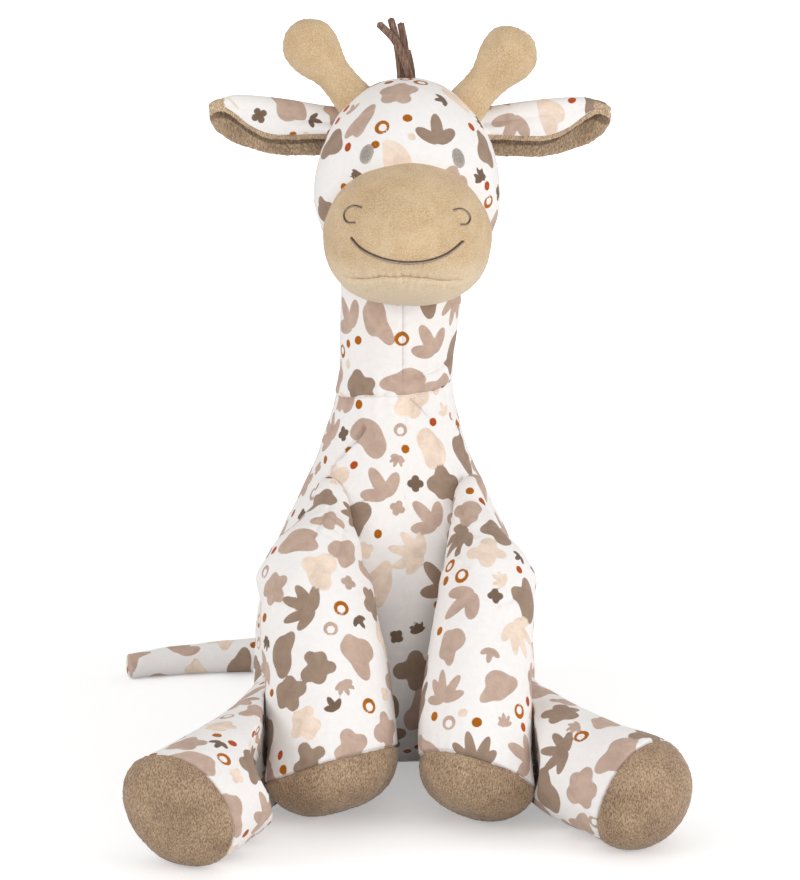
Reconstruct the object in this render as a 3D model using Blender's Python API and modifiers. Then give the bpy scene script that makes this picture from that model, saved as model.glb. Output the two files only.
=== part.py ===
"""A seated plush giraffe: stuffed torso, neck, head, limbs, ears, horns and tail, in metres.

It faces -Y, +Z is up, and the origin is the centre of the seat on the floor.
Its own left side is +X.
"""

import math

import bmesh
import bpy
from mathutils import Matrix, Vector

# Clearances and mesh density
FIT_GAP = 0.0003
SWING_GAP = 0.0004
FACET_GAP = 0.0010
SOCKET_GAP = 0.0006
OVERRUN = 0.020
ROUND_SIDES = 28
BALL_SIDES = 16
SOCKET_SIDES = 36
HORN_SIDES = 20
HEAD_ROWS = 16
EYE_SIDES = 12
LIMB_BEVEL_STEPS = 6
CORD_BEVEL_STEPS = 2

# Torso: a pear that narrows into the shoulders
TORSO_WIDTH = 0.189
TORSO_DEPTH = 0.172
TORSO_HEIGHT = 0.226
TORSO_LEAN = 0.005
TORSO_ROW_SHARES = (
    (0.00, 0.74, 0.72, 0.0),
    (0.03, 0.86, 0.85, 0.2),
    (0.08, 0.95, 0.95, 0.5),
    (0.16, 1.00, 1.00, 0.8),
    (0.30, 0.98, 0.99, 1.0),
    (0.45, 0.92, 0.95, 1.0),
    (0.60, 0.80, 0.86, 0.9),
    (0.71, 0.675, 0.74, 0.6),
    (0.81, 0.56, 0.635, 0.3),
    (0.91, 0.478, 0.55, 0.1),
    (1.00, 0.437, 0.50, 0.0),
)

# Seat: a round base panel under a bag of pellets
SEAT_PANEL_RADIUS = 0.055
SEAT_PANEL_THICKNESS = 0.003
PELLET_BAG_RADIUS = 0.042
PELLET_BAG_HEIGHT = 0.030
PELLET_BAG_RISE = 0.012

# Neck: a stuffed column with a round end in the torso and one in the head
NECK_BASE_RADIUS = 0.0395
NECK_TOP_RADIUS = 0.0375
NECK_SEAM_RISE = 0.011
NECK_LENGTH = 0.060
NECK_ARC_STEPS = 5

# Head
HEAD_WIDTH = 0.118
HEAD_LENGTH = 0.132
HEAD_CROWN_RISE = 0.0723
HEAD_JAW_DROP = 0.061
HEAD_ABOVE_NECK = 0.065
HEAD_SIDE_SHIFT = 0.0066
HEAD_FORWARD = 0.004

# Muzzle and the chin panel under it
MUZZLE_WIDTH = 0.104
MUZZLE_LENGTH = 0.124
MUZZLE_RISE = 0.047
MUZZLE_DROP = 0.0445
MUZZLE_BELOW_HEAD = 0.0215
MUZZLE_FORWARD = 0.036
MUZZLE_SQUARENESS = 2.35
CHIN_SEAM_DROP = 0.023
THROAT_CLEARANCE = 0.0055

# Embroidered face
THREAD_RADIUS = 0.0009
EYE_WIDTH = 0.0084
EYE_HEIGHT = 0.0118
EYE_THICKNESS = 0.0018
EYE_SPREAD = 0.0279
EYE_SHIFT = 0.003
EYE_RISE = 0.0275
SMILE_HALF_WIDTH = 0.0345
SMILE_DIP = 0.0155
SMILE_DROP = 0.001
SMILE_POINTS = 17
SMILE_POWER = 2.2
NOSTRIL_RADIUS = 0.0062
NOSTRIL_SPREAD = 0.0355
NOSTRIL_RISE = 0.0125
NOSTRIL_POINTS = 9
NOSTRIL_SWEEP = math.radians(215)
NOSTRIL_TURN = math.radians(72)

# Horns
RIGHT_HORN_LENGTH = 0.076
LEFT_HORN_LENGTH = 0.070
HORN_BULB_RADIUS = 0.0164
HORN_FLATNESS_SHARE = 0.86
RIGHT_HORN_ANGLE = math.radians(-36.5)
LEFT_HORN_ANGLE = math.radians(40)
HORN_ROOT_SPREAD = 0.0335
HORN_ROOT_RISE = 0.0535
HORN_PROFILE_SHARES = (
    (1.00, 0.00),
    (0.985, 0.36),
    (0.95, 0.62),
    (0.88, 0.87),
    (0.79, 0.99),
    (0.69, 0.98),
    (0.57, 0.88),
    (0.43, 0.78),
    (0.28, 0.73),
    (0.12, 0.73),
    (0.00, 0.74),
)

# Tuft of suede strips on the crown
STRAND_RADIUS = 0.0018
STRAND_LENGTH = 0.036
STRAND_SPACING = 0.0040
STRAND_POINTS = 7
STRAND_BEND_POWER = 1.4
STRAND_SIDE_SHIFT = -0.0025
STRAND_LEAN_SHARES = (-0.30, -0.10, -0.05, 0.04)
STRAND_LENGTH_SHARES = (1.0, 1.08, 1.0, 0.62)

# Ears: a leaf folded over its long edge
EAR_LENGTH = 0.089
EAR_ROOT_SPREAD = 0.036
EAR_TOP_RISE = 0.0505
EAR_TIP_LIFT = 0.0085
EAR_TIP_DROOP = 0.005
EAR_DROOP_POWER = 6
EAR_SETBACK = 0.010
EAR_BACK_DROP = 0.037
EAR_FLAP_DROP = 0.0235
EAR_FOLD_RADIUS = 0.0075
EAR_CLOTH = 0.0022
EAR_LINING_OVERHANG = 0.0016
EAR_STATIONS = 12
EAR_ARC_STEPS = 4
EAR_SIDE_STEPS = 2
EAR_BACK_SHARES = (0.86, 0.92, 0.98, 1.00, 1.00, 0.98, 0.93, 0.85, 0.74, 0.58, 0.38, 0.14)
EAR_FLAP_SHARES = (0.84, 0.92, 0.98, 1.00, 1.00, 0.98, 0.93, 0.84, 0.70, 0.54, 0.36, 0.18)
EAR_FOLD_SHARES = (1.00, 1.00, 1.00, 1.00, 0.98, 0.95, 0.90, 0.82, 0.72, 0.58, 0.42, 0.30)

# Front legs
RIGHT_FRONT_FOOT_RADIUS = 0.0403
LEFT_FRONT_FOOT_RADIUS = 0.0362
FRONT_SOLE_DOME = 0.0275
SHOULDER_BALL_RADIUS = 0.015
SHOULDER_HEIGHT = 0.176
SHOULDER_FORWARD = 0.043
RIGHT_FRONT_FOOT_FORWARD = 0.153
LEFT_FRONT_FOOT_FORWARD = 0.165
FRONT_LEG_BOW = 0.012
RIGHT_FRONT_LEG_SHARES = (
    (0.00, 0.136, 0.21),
    (0.09, 0.140, 0.323),
    (0.155, 0.037, 0.524),
    (0.22, -0.08, 0.702),
    (0.32, -0.20, 0.856),
    (0.43, -0.145, 0.883),
    (0.58, -0.084, 0.913),
    (0.755, -0.02, 0.960),
    (0.92, 0.01, 0.993),
    (1.00, 0.00, 1.00),
)
LEFT_FRONT_LEG_SHARES = (
    (0.00, -0.069, 0.235),
    (0.09, -0.043, 0.340),
    (0.155, 0.02, 0.453),
    (0.22, 0.088, 0.580),
    (0.32, 0.199, 0.785),
    (0.43, 0.188, 0.834),
    (0.58, 0.08, 0.862),
    (0.755, 0.005, 0.934),
    (0.92, -0.03, 0.978),
    (1.00, 0.00, 1.00),
)
RIGHT_SHOULDER_SIDE = -0.048
RIGHT_FRONT_FOOT_SIDE = -0.0384
LEFT_SHOULDER_SIDE = 0.048
LEFT_FRONT_FOOT_SIDE = 0.0484

# Hind legs, lying forward on the floor
HIND_FOOT_RADIUS = 0.0355
HIND_SOLE_DOME = 0.013
HIP_BALL_RADIUS = 0.029
HIP_FORWARD = 0.055
HIP_SIDE = 0.064
HIP_HEIGHT = 0.034
HIND_LEG_SHARES = (
    (0.00, 0.83),
    (0.12, 0.855),
    (0.25, 0.88),
    (0.38, 0.905),
    (0.52, 0.93),
    (0.66, 0.955),
    (0.80, 0.98),
    (0.92, 1.00),
    (1.00, 1.00),
)
RIGHT_KNEE_SIDE = -0.082
RIGHT_KNEE_FORWARD = 0.155
RIGHT_HIND_FOOT_SIDE = -0.121
RIGHT_HIND_FOOT_FORWARD = 0.242
LEFT_KNEE_SIDE = 0.088
LEFT_KNEE_FORWARD = 0.145
LEFT_HIND_FOOT_SIDE = 0.141
LEFT_HIND_FOOT_FORWARD = 0.214

# Tail
TAIL_ROOT_RADIUS = 0.0180
TAIL_END_RADIUS = 0.0092
TAIL_ROOT_SIDE = -0.010
TAIL_ROOT_HEIGHT = 0.028
TAIL_REACH_SIDE = 0.181
TAIL_REACH_BACK = 0.036
TAIL_BULGE_BACK = 0.046
TAIL_POINTS = 12
TAIL_SETTLE_SHARE = 0.33

# Sole domes and floor contact
DOME_STEPS = 4
DOME_LAST_STEP = 3.67
FLOOR_FLAT = 0.0005

# Joint ranges that the solids are cleared for
SHOULDER_RAISE = math.radians(60)
HIP_SPLAY = math.radians(45)
TAIL_SWING = math.radians(120)
EAR_FLAP = math.radians(20)
LEG_SWEEP = math.radians(30)
SHOULDER_STEPS = 6
HIP_STEPS = 6
TAIL_STEPS = 12
EAR_STEPS = 4
SWEEP_STEPS = 6

NECK_BASE_Z = TORSO_HEIGHT + NECK_SEAM_RISE
NECK_TOP_Z = NECK_BASE_Z + NECK_LENGTH
HEAD_CENTRE = Vector((HEAD_SIDE_SHIFT, -HEAD_FORWARD, NECK_TOP_Z + HEAD_ABOVE_NECK))
MUZZLE_CENTRE = HEAD_CENTRE + Vector((0, -MUZZLE_FORWARD, -MUZZLE_BELOW_HEAD))

JOINT_PIECES = {
    "neck": ("neck",),
    "head": (
        "head",
        "muzzle",
        "chin",
        "right_eye",
        "left_eye",
        "smile",
        "right_nostril",
        "left_nostril",
        "right_horn",
        "left_horn",
        "tuft_strand_1",
        "tuft_strand_2",
        "tuft_strand_3",
        "tuft_strand_4",
    ),
    "right_ear": ("right_ear", "right_ear_lining"),
    "left_ear": ("left_ear", "left_ear_lining"),
    "right_shoulder": ("right_front_leg", "right_front_sole"),
    "left_shoulder": ("left_front_leg", "left_front_sole"),
    "right_hip": ("right_hind_leg", "right_hind_sole"),
    "left_hip": ("left_hind_leg", "left_hind_sole"),
    "tail": ("tail",),
}

PRINTED_CLOTH = (0.83, 0.79, 0.77)
TAN_PLUSH = (0.64, 0.46, 0.27)
BROWN_PLUSH = (0.33, 0.23, 0.135)
SUEDE = (0.11, 0.064, 0.05)
GREY_THREAD = (0.26, 0.25, 0.24)
CANVAS = (0.72, 0.68, 0.62)


def empty_scene():
    for obj in list(bpy.data.objects):
        bpy.data.objects.remove(obj, do_unlink=True)


def new_collection(name):
    collection = bpy.data.collections.new(name)
    bpy.context.scene.collection.children.link(collection)
    return collection


def cloth(name, colour, roughness):
    material = bpy.data.materials.new(name)
    material.use_nodes = True
    shader = material.node_tree.nodes["Principled BSDF"]
    shader.inputs["Base Color"].default_value = (*colour, 1)
    shader.inputs["Roughness"].default_value = roughness
    shader.inputs["Metallic"].default_value = 0
    return material


def object_from(bm, name, collection):
    mesh = bpy.data.meshes.new(name)
    bm.to_mesh(mesh)
    bm.free()
    obj = bpy.data.objects.new(name, mesh)
    collection.objects.link(obj)
    return obj


def cutter_from(bm, name):
    obj = object_from(bm, name, cutters)
    obj.hide_render = True
    obj.display_type = "WIRE"
    return obj


def finish(obj, material):
    obj.data.materials.clear()
    obj.data.materials.append(material)
    obj.data.shade_smooth()
    obj.data.set_sharp_from_angle(angle=math.radians(40))
    return obj


def cut(obj, cutter, operation="DIFFERENCE"):
    step = obj.modifiers.new(operation.title(), "BOOLEAN")
    step.object = cutter
    step.operation = operation
    step.solver = "EXACT"


def bake(obj):
    """Replaces the object's mesh by what its modifiers make of it."""
    bpy.context.view_layer.update()
    evaluated = obj.evaluated_get(bpy.context.evaluated_depsgraph_get())
    mesh = bpy.data.meshes.new_from_object(evaluated)
    obj.modifiers.clear()
    obj.data = mesh
    return obj


def loft(rings):
    """Skins a list of rings, bottom to top, and closes both ends."""
    bm = bmesh.new()
    loops = [[bm.verts.new(point) for point in ring] for ring in rings]
    for lower, upper in zip(loops, loops[1:]):
        for i in range(len(lower)):
            j = (i + 1) % len(lower)
            bm.faces.new((lower[i], lower[j], upper[j], upper[i]))
    bm.faces.new(reversed(loops[0]))
    bm.faces.new(loops[-1])
    return bm


def torso_form(extra):
    rings = []
    for height, width, depth, lean in TORSO_ROW_SHARES:
        half_width = width * TORSO_WIDTH / 2 + extra
        half_depth = depth * TORSO_DEPTH / 2 + extra
        ring = []
        for i in range(ROUND_SIDES):
            angle = i * math.tau / ROUND_SIDES
            x = half_width * math.cos(angle)
            y = half_depth * math.sin(angle) - lean * TORSO_LEAN
            ring.append(Vector((x, y, height * TORSO_HEIGHT)))
        rings.append(ring)
    rings[0] = [point - Vector((0, 0, extra)) for point in rings[0]]
    rings[-1] = [point + Vector((0, 0, extra)) for point in rings[-1]]
    return loft(rings)


def ball(centre, radius, sides=BALL_SIDES):
    bm = bmesh.new()
    bmesh.ops.create_uvsphere(bm, u_segments=sides, v_segments=sides // 2, radius=radius)
    bmesh.ops.translate(bm, verts=bm.verts, vec=centre)
    return bm


def disc(centre, radius, bottom, top):
    bm = bmesh.new()
    bmesh.ops.create_cone(
        bm,
        cap_ends=True,
        segments=ROUND_SIDES,
        radius1=radius,
        radius2=radius,
        depth=top - bottom,
    )
    bmesh.ops.translate(bm, verts=bm.verts, vec=Vector((centre.x, centre.y, (bottom + top) / 2)))
    return bm


def above_floor(bm, floor=0.0, up=1):
    """Keeps what is above a floor, or below it with up at -1, and closes the cut."""
    geometry = bm.verts[:] + bm.edges[:] + bm.faces[:]
    result = bmesh.ops.bisect_plane(
        bm, geom=geometry, plane_co=(0, 0, floor), plane_no=(0, 0, -up), clear_outer=True
    )
    edges = [item for item in result["geom_cut"] if isinstance(item, bmesh.types.BMEdge)]
    if edges:
        bmesh.ops.holes_fill(bm, edges=edges, sides=0)
    return bm


def head_form(extra):
    """An egg with its own crown and jaw heights."""
    bm = bmesh.new()
    bmesh.ops.create_uvsphere(bm, u_segments=ROUND_SIDES, v_segments=HEAD_ROWS, radius=1)
    for vert in bm.verts:
        rise = HEAD_CROWN_RISE if vert.co.z > 0 else HEAD_JAW_DROP
        vert.co.x *= HEAD_WIDTH / 2 + extra
        vert.co.y *= HEAD_LENGTH / 2 + extra
        vert.co.z *= rise + extra
    bmesh.ops.translate(bm, verts=bm.verts, vec=HEAD_CENTRE)
    return bm


def head_front(side, rise):
    """The point and outward normal of the head's front at a place on the face."""
    half_width = HEAD_WIDTH / 2
    half_length = HEAD_LENGTH / 2
    reach = math.sqrt(1 - (side / half_width) ** 2 - (rise / HEAD_CROWN_RISE) ** 2)
    offset = Vector((side, -half_length * reach, rise))
    normal = Vector((side / half_width**2, offset.y / half_length**2, rise / HEAD_CROWN_RISE**2))
    return HEAD_CENTRE + offset, normal.normalized()


def crown_height(side, back):
    """How high the head's crown is over a place near its middle."""
    reach = math.sqrt(1 - (side / (HEAD_WIDTH / 2)) ** 2 - (back / (HEAD_LENGTH / 2)) ** 2)
    return HEAD_CENTRE.z + HEAD_CROWN_RISE * reach


def muzzle_reach(side, rise):
    """How far forward the muzzle's surface is, as a share, from its rounded square outline."""
    height = MUZZLE_RISE if rise > 0 else MUZZLE_DROP
    power = MUZZLE_SQUARENESS
    outline = abs(side / (MUZZLE_WIDTH / 2)) ** power + abs(rise / height) ** power
    return math.sqrt(max(0.0, 1 - outline ** (2 / power)))


def muzzle_front(side, rise):
    """The point of the muzzle's front at a place on the face, and its outward normal."""
    half_length = MUZZLE_LENGTH / 2
    step = THREAD_RADIUS / 2

    def point(x, z):
        return Vector((x, -half_length * muzzle_reach(x, z), z))

    across = point(side + step, rise) - point(side - step, rise)
    upward = point(side, rise + step) - point(side, rise - step)
    return MUZZLE_CENTRE + point(side, rise), across.cross(upward).normalized()


def muzzle_form():
    bm = bmesh.new()
    bmesh.ops.create_uvsphere(bm, u_segments=ROUND_SIDES, v_segments=HEAD_ROWS, radius=1)
    bmesh.ops.rotate(bm, verts=bm.verts, matrix=Matrix.Rotation(math.pi / 2, 3, "X"))
    power = MUZZLE_SQUARENESS
    for vert in bm.verts:
        outline = abs(vert.co.x) ** power + abs(vert.co.z) ** power
        flat = math.hypot(vert.co.x, vert.co.z)
        fill = flat / outline ** (1 / power) if outline > 0 else 1
        rise = MUZZLE_RISE if vert.co.z > 0 else MUZZLE_DROP
        vert.co.x *= fill * MUZZLE_WIDTH / 2
        vert.co.y *= MUZZLE_LENGTH / 2
        vert.co.z *= fill * rise
    bmesh.ops.translate(bm, verts=bm.verts, vec=MUZZLE_CENTRE)
    return bm


def neck_profile(extra):
    """Half of the neck's outline, from its top down its outer side to its foot."""
    points = []
    for centre, radius, start in (
        (NECK_TOP_Z, NECK_TOP_RADIUS + extra, math.pi / 2),
        (NECK_BASE_Z, NECK_BASE_RADIUS + extra, 0),
    ):
        for i in range(NECK_ARC_STEPS + 1):
            angle = start - i * math.pi / 2 / NECK_ARC_STEPS
            points.append(Vector((radius * math.cos(angle), 0, centre + radius * math.sin(angle))))
    points[0].x = 0
    points[-1].x = 0
    return points


def turned(points, name, collection, sides=ROUND_SIDES, place=Matrix.Identity(4)):
    """Turns a profile about Z and puts it in its place."""
    mesh = bpy.data.meshes.new(name)
    mesh.from_pydata(points, [(i, i + 1) for i in range(len(points) - 1)], [])
    obj = bpy.data.objects.new(name, mesh)
    collection.objects.link(obj)
    screw = obj.modifiers.new("Turn", "SCREW")
    screw.steps = sides
    screw.render_steps = sides
    screw.use_merge_vertices = True
    screw.merge_threshold = 0.0001
    bake(obj)
    obj.data.transform(place)
    return obj


def tube(points, radii, name, collection, bevel_steps):
    """A round tube along points, with its own radius at each, as a closed mesh."""
    curve = bpy.data.curves.new(name, "CURVE")
    curve.dimensions = "3D"
    curve.bevel_depth = 1
    curve.bevel_resolution = bevel_steps
    curve.use_fill_caps = True
    spline = curve.splines.new("POLY")
    spline.points.add(len(points) - 1)
    for knot, point, radius in zip(spline.points, points, radii):
        knot.co = (*point, 1)
        knot.radius = radius
    guide = bpy.data.objects.new(name, curve)
    collection.objects.link(guide)
    bpy.context.view_layer.update()
    evaluated = guide.evaluated_get(bpy.context.evaluated_depsgraph_get())
    mesh = bpy.data.meshes.new_from_object(evaluated)
    bpy.data.objects.remove(guide, do_unlink=True)
    bm = bmesh.new()
    bm.from_mesh(mesh)
    bmesh.ops.remove_doubles(bm, verts=bm.verts, dist=FIT_GAP / 100)
    bmesh.ops.recalc_face_normals(bm, faces=bm.faces)
    return bm


def dome(end, direction, radius, height):
    """The points and radii of a round sole past the end of a leg."""
    points = []
    radii = []
    for i in range(DOME_STEPS + 1):
        angle = min(i, DOME_LAST_STEP) * math.pi / 2 / DOME_STEPS
        points.append(end + direction * height * math.sin(angle))
        radii.append(radius * math.cos(angle))
    return points, radii


def turn_about(centre, axis, angle):
    back = Matrix.Translation(centre)
    return back @ Matrix.Rotation(angle, 4, axis) @ back.inverted()


def clear_swing(obj, form, centre, axis, limits, steps):
    """Cuts a moving piece by what it would meet at each step of its swing."""
    low, high = limits
    for step in range(steps + 1):
        angle = low + (high - low) * step / steps
        bm = form(SWING_GAP)
        bmesh.ops.transform(bm, matrix=turn_about(centre, axis, -angle), verts=bm.verts)
        cut(obj, cutter_from(bm, f"{obj.name}_{form.__name__}_{step}"))


def bezier(points, t):
    """A point of the curve that a list of control points pulls."""
    while len(points) > 1:
        points = [a.lerp(b, t) for a, b in zip(points, points[1:])]
    return points[0]


def make_torso():
    torso = object_from(above_floor(torso_form(0)), "torso", parts)
    neck_ball = ball(Vector((0, 0, NECK_BASE_Z)), NECK_BASE_RADIUS + SOCKET_GAP, SOCKET_SIDES)
    cut(torso, cutter_from(neck_ball, "neck_socket"))
    recess_top = SEAT_PANEL_THICKNESS + FIT_GAP
    recess = disc(Vector(), SEAT_PANEL_RADIUS + FIT_GAP, -OVERRUN, recess_top)
    cut(torso, cutter_from(recess, "seat_recess"))
    cut(torso, cutter_from(pellet_form(FIT_GAP), "pellet_pocket"))
    for name, centre in shoulder_balls.items():
        socket = ball(centre, SHOULDER_BALL_RADIUS + SOCKET_GAP, SOCKET_SIDES)
        cut(torso, cutter_from(socket, f"{name}_socket"))
    for name, centre in hip_balls.items():
        socket = ball(centre, HIP_BALL_RADIUS + SOCKET_GAP, SOCKET_SIDES)
        cut(torso, cutter_from(socket, f"{name}_socket"))
    tail_socket = ball(tail_root, TAIL_ROOT_RADIUS + SOCKET_GAP, SOCKET_SIDES)
    cut(torso, cutter_from(tail_socket, "tail_socket"))
    finish(bake(torso), printed)


def pellet_form(extra):
    base = SEAT_PANEL_THICKNESS + FIT_GAP
    bm = bmesh.new()
    bmesh.ops.create_uvsphere(bm, u_segments=BALL_SIDES, v_segments=BALL_SIDES // 2, radius=1)
    half = PELLET_BAG_HEIGHT / 2
    size = Vector((PELLET_BAG_RADIUS + extra, PELLET_BAG_RADIUS + extra, half + extra))
    bmesh.ops.scale(bm, verts=bm.verts, vec=size)
    bmesh.ops.translate(bm, verts=bm.verts, vec=Vector((0, 0, base + PELLET_BAG_RISE)))
    return bm


def make_seat():
    panel = disc(Vector(), SEAT_PANEL_RADIUS, 0, SEAT_PANEL_THICKNESS)
    finish(object_from(panel, "seat_panel", parts), printed)
    base = SEAT_PANEL_THICKNESS + FIT_GAP
    finish(object_from(above_floor(pellet_form(0), base), "pellet_bag", parts), canvas)


def make_neck():
    finish(turned(neck_profile(0), "neck", parts), printed)


def make_head():
    head = object_from(head_form(0), "head", parts)
    socket = ball(Vector((0, 0, NECK_TOP_Z)), NECK_TOP_RADIUS + SOCKET_GAP, SOCKET_SIDES)
    cut(head, cutter_from(socket, "head_socket"))
    finish(bake(head), printed)


def make_muzzle():
    """The muzzle and chin are one form, parted at the seam under the lip."""
    throat_cutter = turned(neck_profile(THROAT_CLEARANCE), "throat", cutters)
    throat_cutter.hide_render = True
    throat_cutter.display_type = "WIRE"
    seam = MUZZLE_CENTRE.z - CHIN_SEAM_DROP
    for name, floor, up in (("muzzle", seam + FIT_GAP / 2, 1), ("chin", seam - FIT_GAP / 2, -1)):
        piece = object_from(above_floor(muzzle_form(), floor, up), name, parts)
        cut(piece, cutter_from(head_form(FIT_GAP), f"{name}_seat"))
        cut(piece, throat_cutter)
        finish(bake(piece), tan)


def stitch_line(places, name):
    """A line of satin stitch that lies on the muzzle."""
    points = []
    for side, rise in places:
        point, normal = muzzle_front(side, rise)
        points.append(point + normal * (THREAD_RADIUS + FIT_GAP))
    radii = [THREAD_RADIUS] * len(points)
    bm = tube(points, radii, name, parts, CORD_BEVEL_STEPS)
    finish(object_from(bm, name, parts), thread)


def make_face():
    for name, side in (("right_eye", -EYE_SPREAD), ("left_eye", EYE_SPREAD)):
        point, normal = head_front(side + EYE_SHIFT, EYE_RISE)
        bm = bmesh.new()
        bmesh.ops.create_uvsphere(bm, u_segments=EYE_SIDES, v_segments=EYE_SIDES // 2, radius=1)
        size = Vector((EYE_WIDTH / 2, EYE_HEIGHT / 2, EYE_THICKNESS / 2))
        bmesh.ops.scale(bm, verts=bm.verts, vec=size)
        lift = EYE_THICKNESS / 2 + FIT_GAP
        turn = normal.to_track_quat("Z", "Y").to_matrix().to_4x4()
        bmesh.ops.transform(bm, matrix=Matrix.Translation(point + normal * lift) @ turn, verts=bm.verts)
        eye = object_from(bm, name, parts)
        cut(eye, cutter_from(head_form(FIT_GAP), f"{name}_seat"))
        finish(bake(eye), thread)

    smile = []
    for i in range(SMILE_POINTS):
        share = 2 * i / (SMILE_POINTS - 1) - 1
        drop = SMILE_DROP + SMILE_DIP * (1 - abs(share) ** SMILE_POWER)
        smile.append((share * SMILE_HALF_WIDTH, -drop))
    stitch_line(smile, "smile")

    for name, flip in (("right_nostril", -1), ("left_nostril", 1)):
        arc = []
        for i in range(NOSTRIL_POINTS):
            angle = NOSTRIL_TURN - NOSTRIL_SWEEP * i / (NOSTRIL_POINTS - 1)
            side = NOSTRIL_SPREAD + NOSTRIL_RADIUS * math.cos(angle)
            rise = NOSTRIL_RISE + NOSTRIL_RADIUS * math.sin(angle)
            arc.append((flip * side, rise))
        stitch_line(arc, name)


def make_horns():
    for name, flip, length, angle in (
        ("right_horn", -1, RIGHT_HORN_LENGTH, RIGHT_HORN_ANGLE),
        ("left_horn", 1, LEFT_HORN_LENGTH, LEFT_HORN_ANGLE),
    ):
        root = HEAD_CENTRE + Vector((flip * HORN_ROOT_SPREAD, 0, HORN_ROOT_RISE))
        profile = [
            Vector((radius * HORN_BULB_RADIUS, 0, height * length))
            for height, radius in HORN_PROFILE_SHARES
        ]
        profile.append(Vector())
        place = Matrix.Translation(root) @ Matrix.Rotation(angle, 4, "Y")
        sunk = Matrix.Translation(Vector((0, 0, -HORN_BULB_RADIUS / 2)))
        squeezed = Matrix.Diagonal((1, HORN_FLATNESS_SHARE, 1, 1))
        horn = turned(profile, name, parts, HORN_SIDES, place @ sunk @ squeezed)
        cut(horn, cutter_from(head_form(FIT_GAP), f"{name}_seat"))
        finish(bake(horn), tan)


def make_tuft():
    count = len(STRAND_LEAN_SHARES)
    for i, (lean, length) in enumerate(zip(STRAND_LEAN_SHARES, STRAND_LENGTH_SHARES)):
        side = STRAND_SIDE_SHIFT + (i - (count - 1) / 2) * STRAND_SPACING
        foot = HEAD_CENTRE + Vector((side, 0, 0))
        foot.z = crown_height(side, 0) - STRAND_RADIUS
        rise = STRAND_LENGTH * length
        points = []
        for j in range(STRAND_POINTS):
            share = j / (STRAND_POINTS - 1)
            bend = lean * rise * share**STRAND_BEND_POWER
            points.append(foot + Vector((bend, 0, rise * share)))
        bm = tube(points, [STRAND_RADIUS] * len(points), "strand", parts, CORD_BEVEL_STEPS)
        strand = object_from(bm, f"tuft_strand_{i + 1}", parts)
        cut(strand, cutter_from(head_form(FIT_GAP), f"{strand.name}_seat"))
        finish(bake(strand), suede)


def ear_section(station, shift, hang):
    """One section of the folded leaf: up the back, over the fold and down the flap."""
    fold = EAR_FOLD_RADIUS * EAR_FOLD_SHARES[station] + shift
    centre = -EAR_FOLD_RADIUS * EAR_FOLD_SHARES[station]
    back = max(EAR_BACK_DROP * EAR_BACK_SHARES[station] + hang, fold - centre)
    flap = max(EAR_FLAP_DROP * EAR_FLAP_SHARES[station] + hang, fold - centre)
    points = []
    for i in range(EAR_SIDE_STEPS):
        points.append((fold, -back + (back + centre) * i / EAR_SIDE_STEPS))
    for i in range(EAR_ARC_STEPS + 1):
        angle = i * math.pi / EAR_ARC_STEPS
        points.append((fold * math.cos(angle), centre + fold * math.sin(angle)))
    for i in range(EAR_SIDE_STEPS):
        points.append((-fold, centre - (flap + centre) * (i + 1) / EAR_SIDE_STEPS))
    return points


def ear_sheet(shift, hang, name):
    """The open surface of one layer of the right ear."""
    root = HEAD_CENTRE + Vector((-EAR_ROOT_SPREAD, EAR_SETBACK, EAR_TOP_RISE))
    bm = bmesh.new()
    rows = []
    for station in range(EAR_STATIONS):
        share = station / (EAR_STATIONS - 1)
        lift = EAR_TIP_LIFT * share - EAR_TIP_DROOP * share**EAR_DROOP_POWER
        row = []
        for back, rise in ear_section(station, shift, hang):
            row.append(bm.verts.new(root + Vector((-EAR_LENGTH * share, back, rise + lift))))
        rows.append(row)
    for near, far in zip(rows, rows[1:]):
        for i in range(len(near) - 1):
            bm.faces.new((near[i], far[i], far[i + 1], near[i + 1]))
    return object_from(bm, name, parts)


def mirrored(obj, name):
    """A copy of one side's piece for the other side of the head."""
    twin = bpy.data.objects.new(name, obj.data.copy())
    parts.objects.link(twin)
    across = Matrix.Translation(Vector((2 * HEAD_CENTRE.x, 0, 0))) @ Matrix.Diagonal((-1, 1, 1, 1))
    twin.data.transform(across)
    twin.data.flip_normals()
    return twin


def make_ears():
    layers = (
        ("ear", FIT_GAP / 2, 0, 1, printed),
        ("ear_lining", -FIT_GAP / 2, EAR_LINING_OVERHANG, -1, brown),
    )
    for part, shift, hang, offset, material in layers:
        piece = ear_sheet(shift, hang, f"right_{part}")
        wall = piece.modifiers.new("Cloth", "SOLIDIFY")
        wall.thickness = EAR_CLOTH
        wall.offset = offset
        clear_swing(piece, head_form, ear_hinge(-1), "Y", (-EAR_FLAP, EAR_FLAP), EAR_STEPS)
        finish(bake(piece), material)
        mirrored(piece, f"left_{part}")


def ear_hinge(flip):
    rise = EAR_TOP_RISE - EAR_BACK_DROP / 2
    reach = math.sqrt(1 - (rise / HEAD_CROWN_RISE) ** 2 - (EAR_SETBACK / (HEAD_LENGTH / 2)) ** 2)
    return HEAD_CENTRE + Vector((flip * HEAD_WIDTH / 2 * reach, EAR_SETBACK, rise))


def front_leg_path(side, foot):
    """Places and radii from the shoulder to the seam of the sole."""
    shoulder = shoulder_balls[f"{side}_shoulder"]
    chord = foot - shoulder
    forward = Vector((0, -1, 0))
    bow = (forward - chord * forward.dot(chord) / chord.length_squared).normalized() * FRONT_LEG_BOW
    points = []
    radii = []
    for share, drift, radius in front_leg_shares[side]:
        aside = Vector((drift * front_foot_radii[side], 0, 0))
        points.append(shoulder + chord * share + aside + bow * 4 * share * (1 - share))
        radii.append(radius * front_foot_radii[side])
    return points, radii


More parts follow.
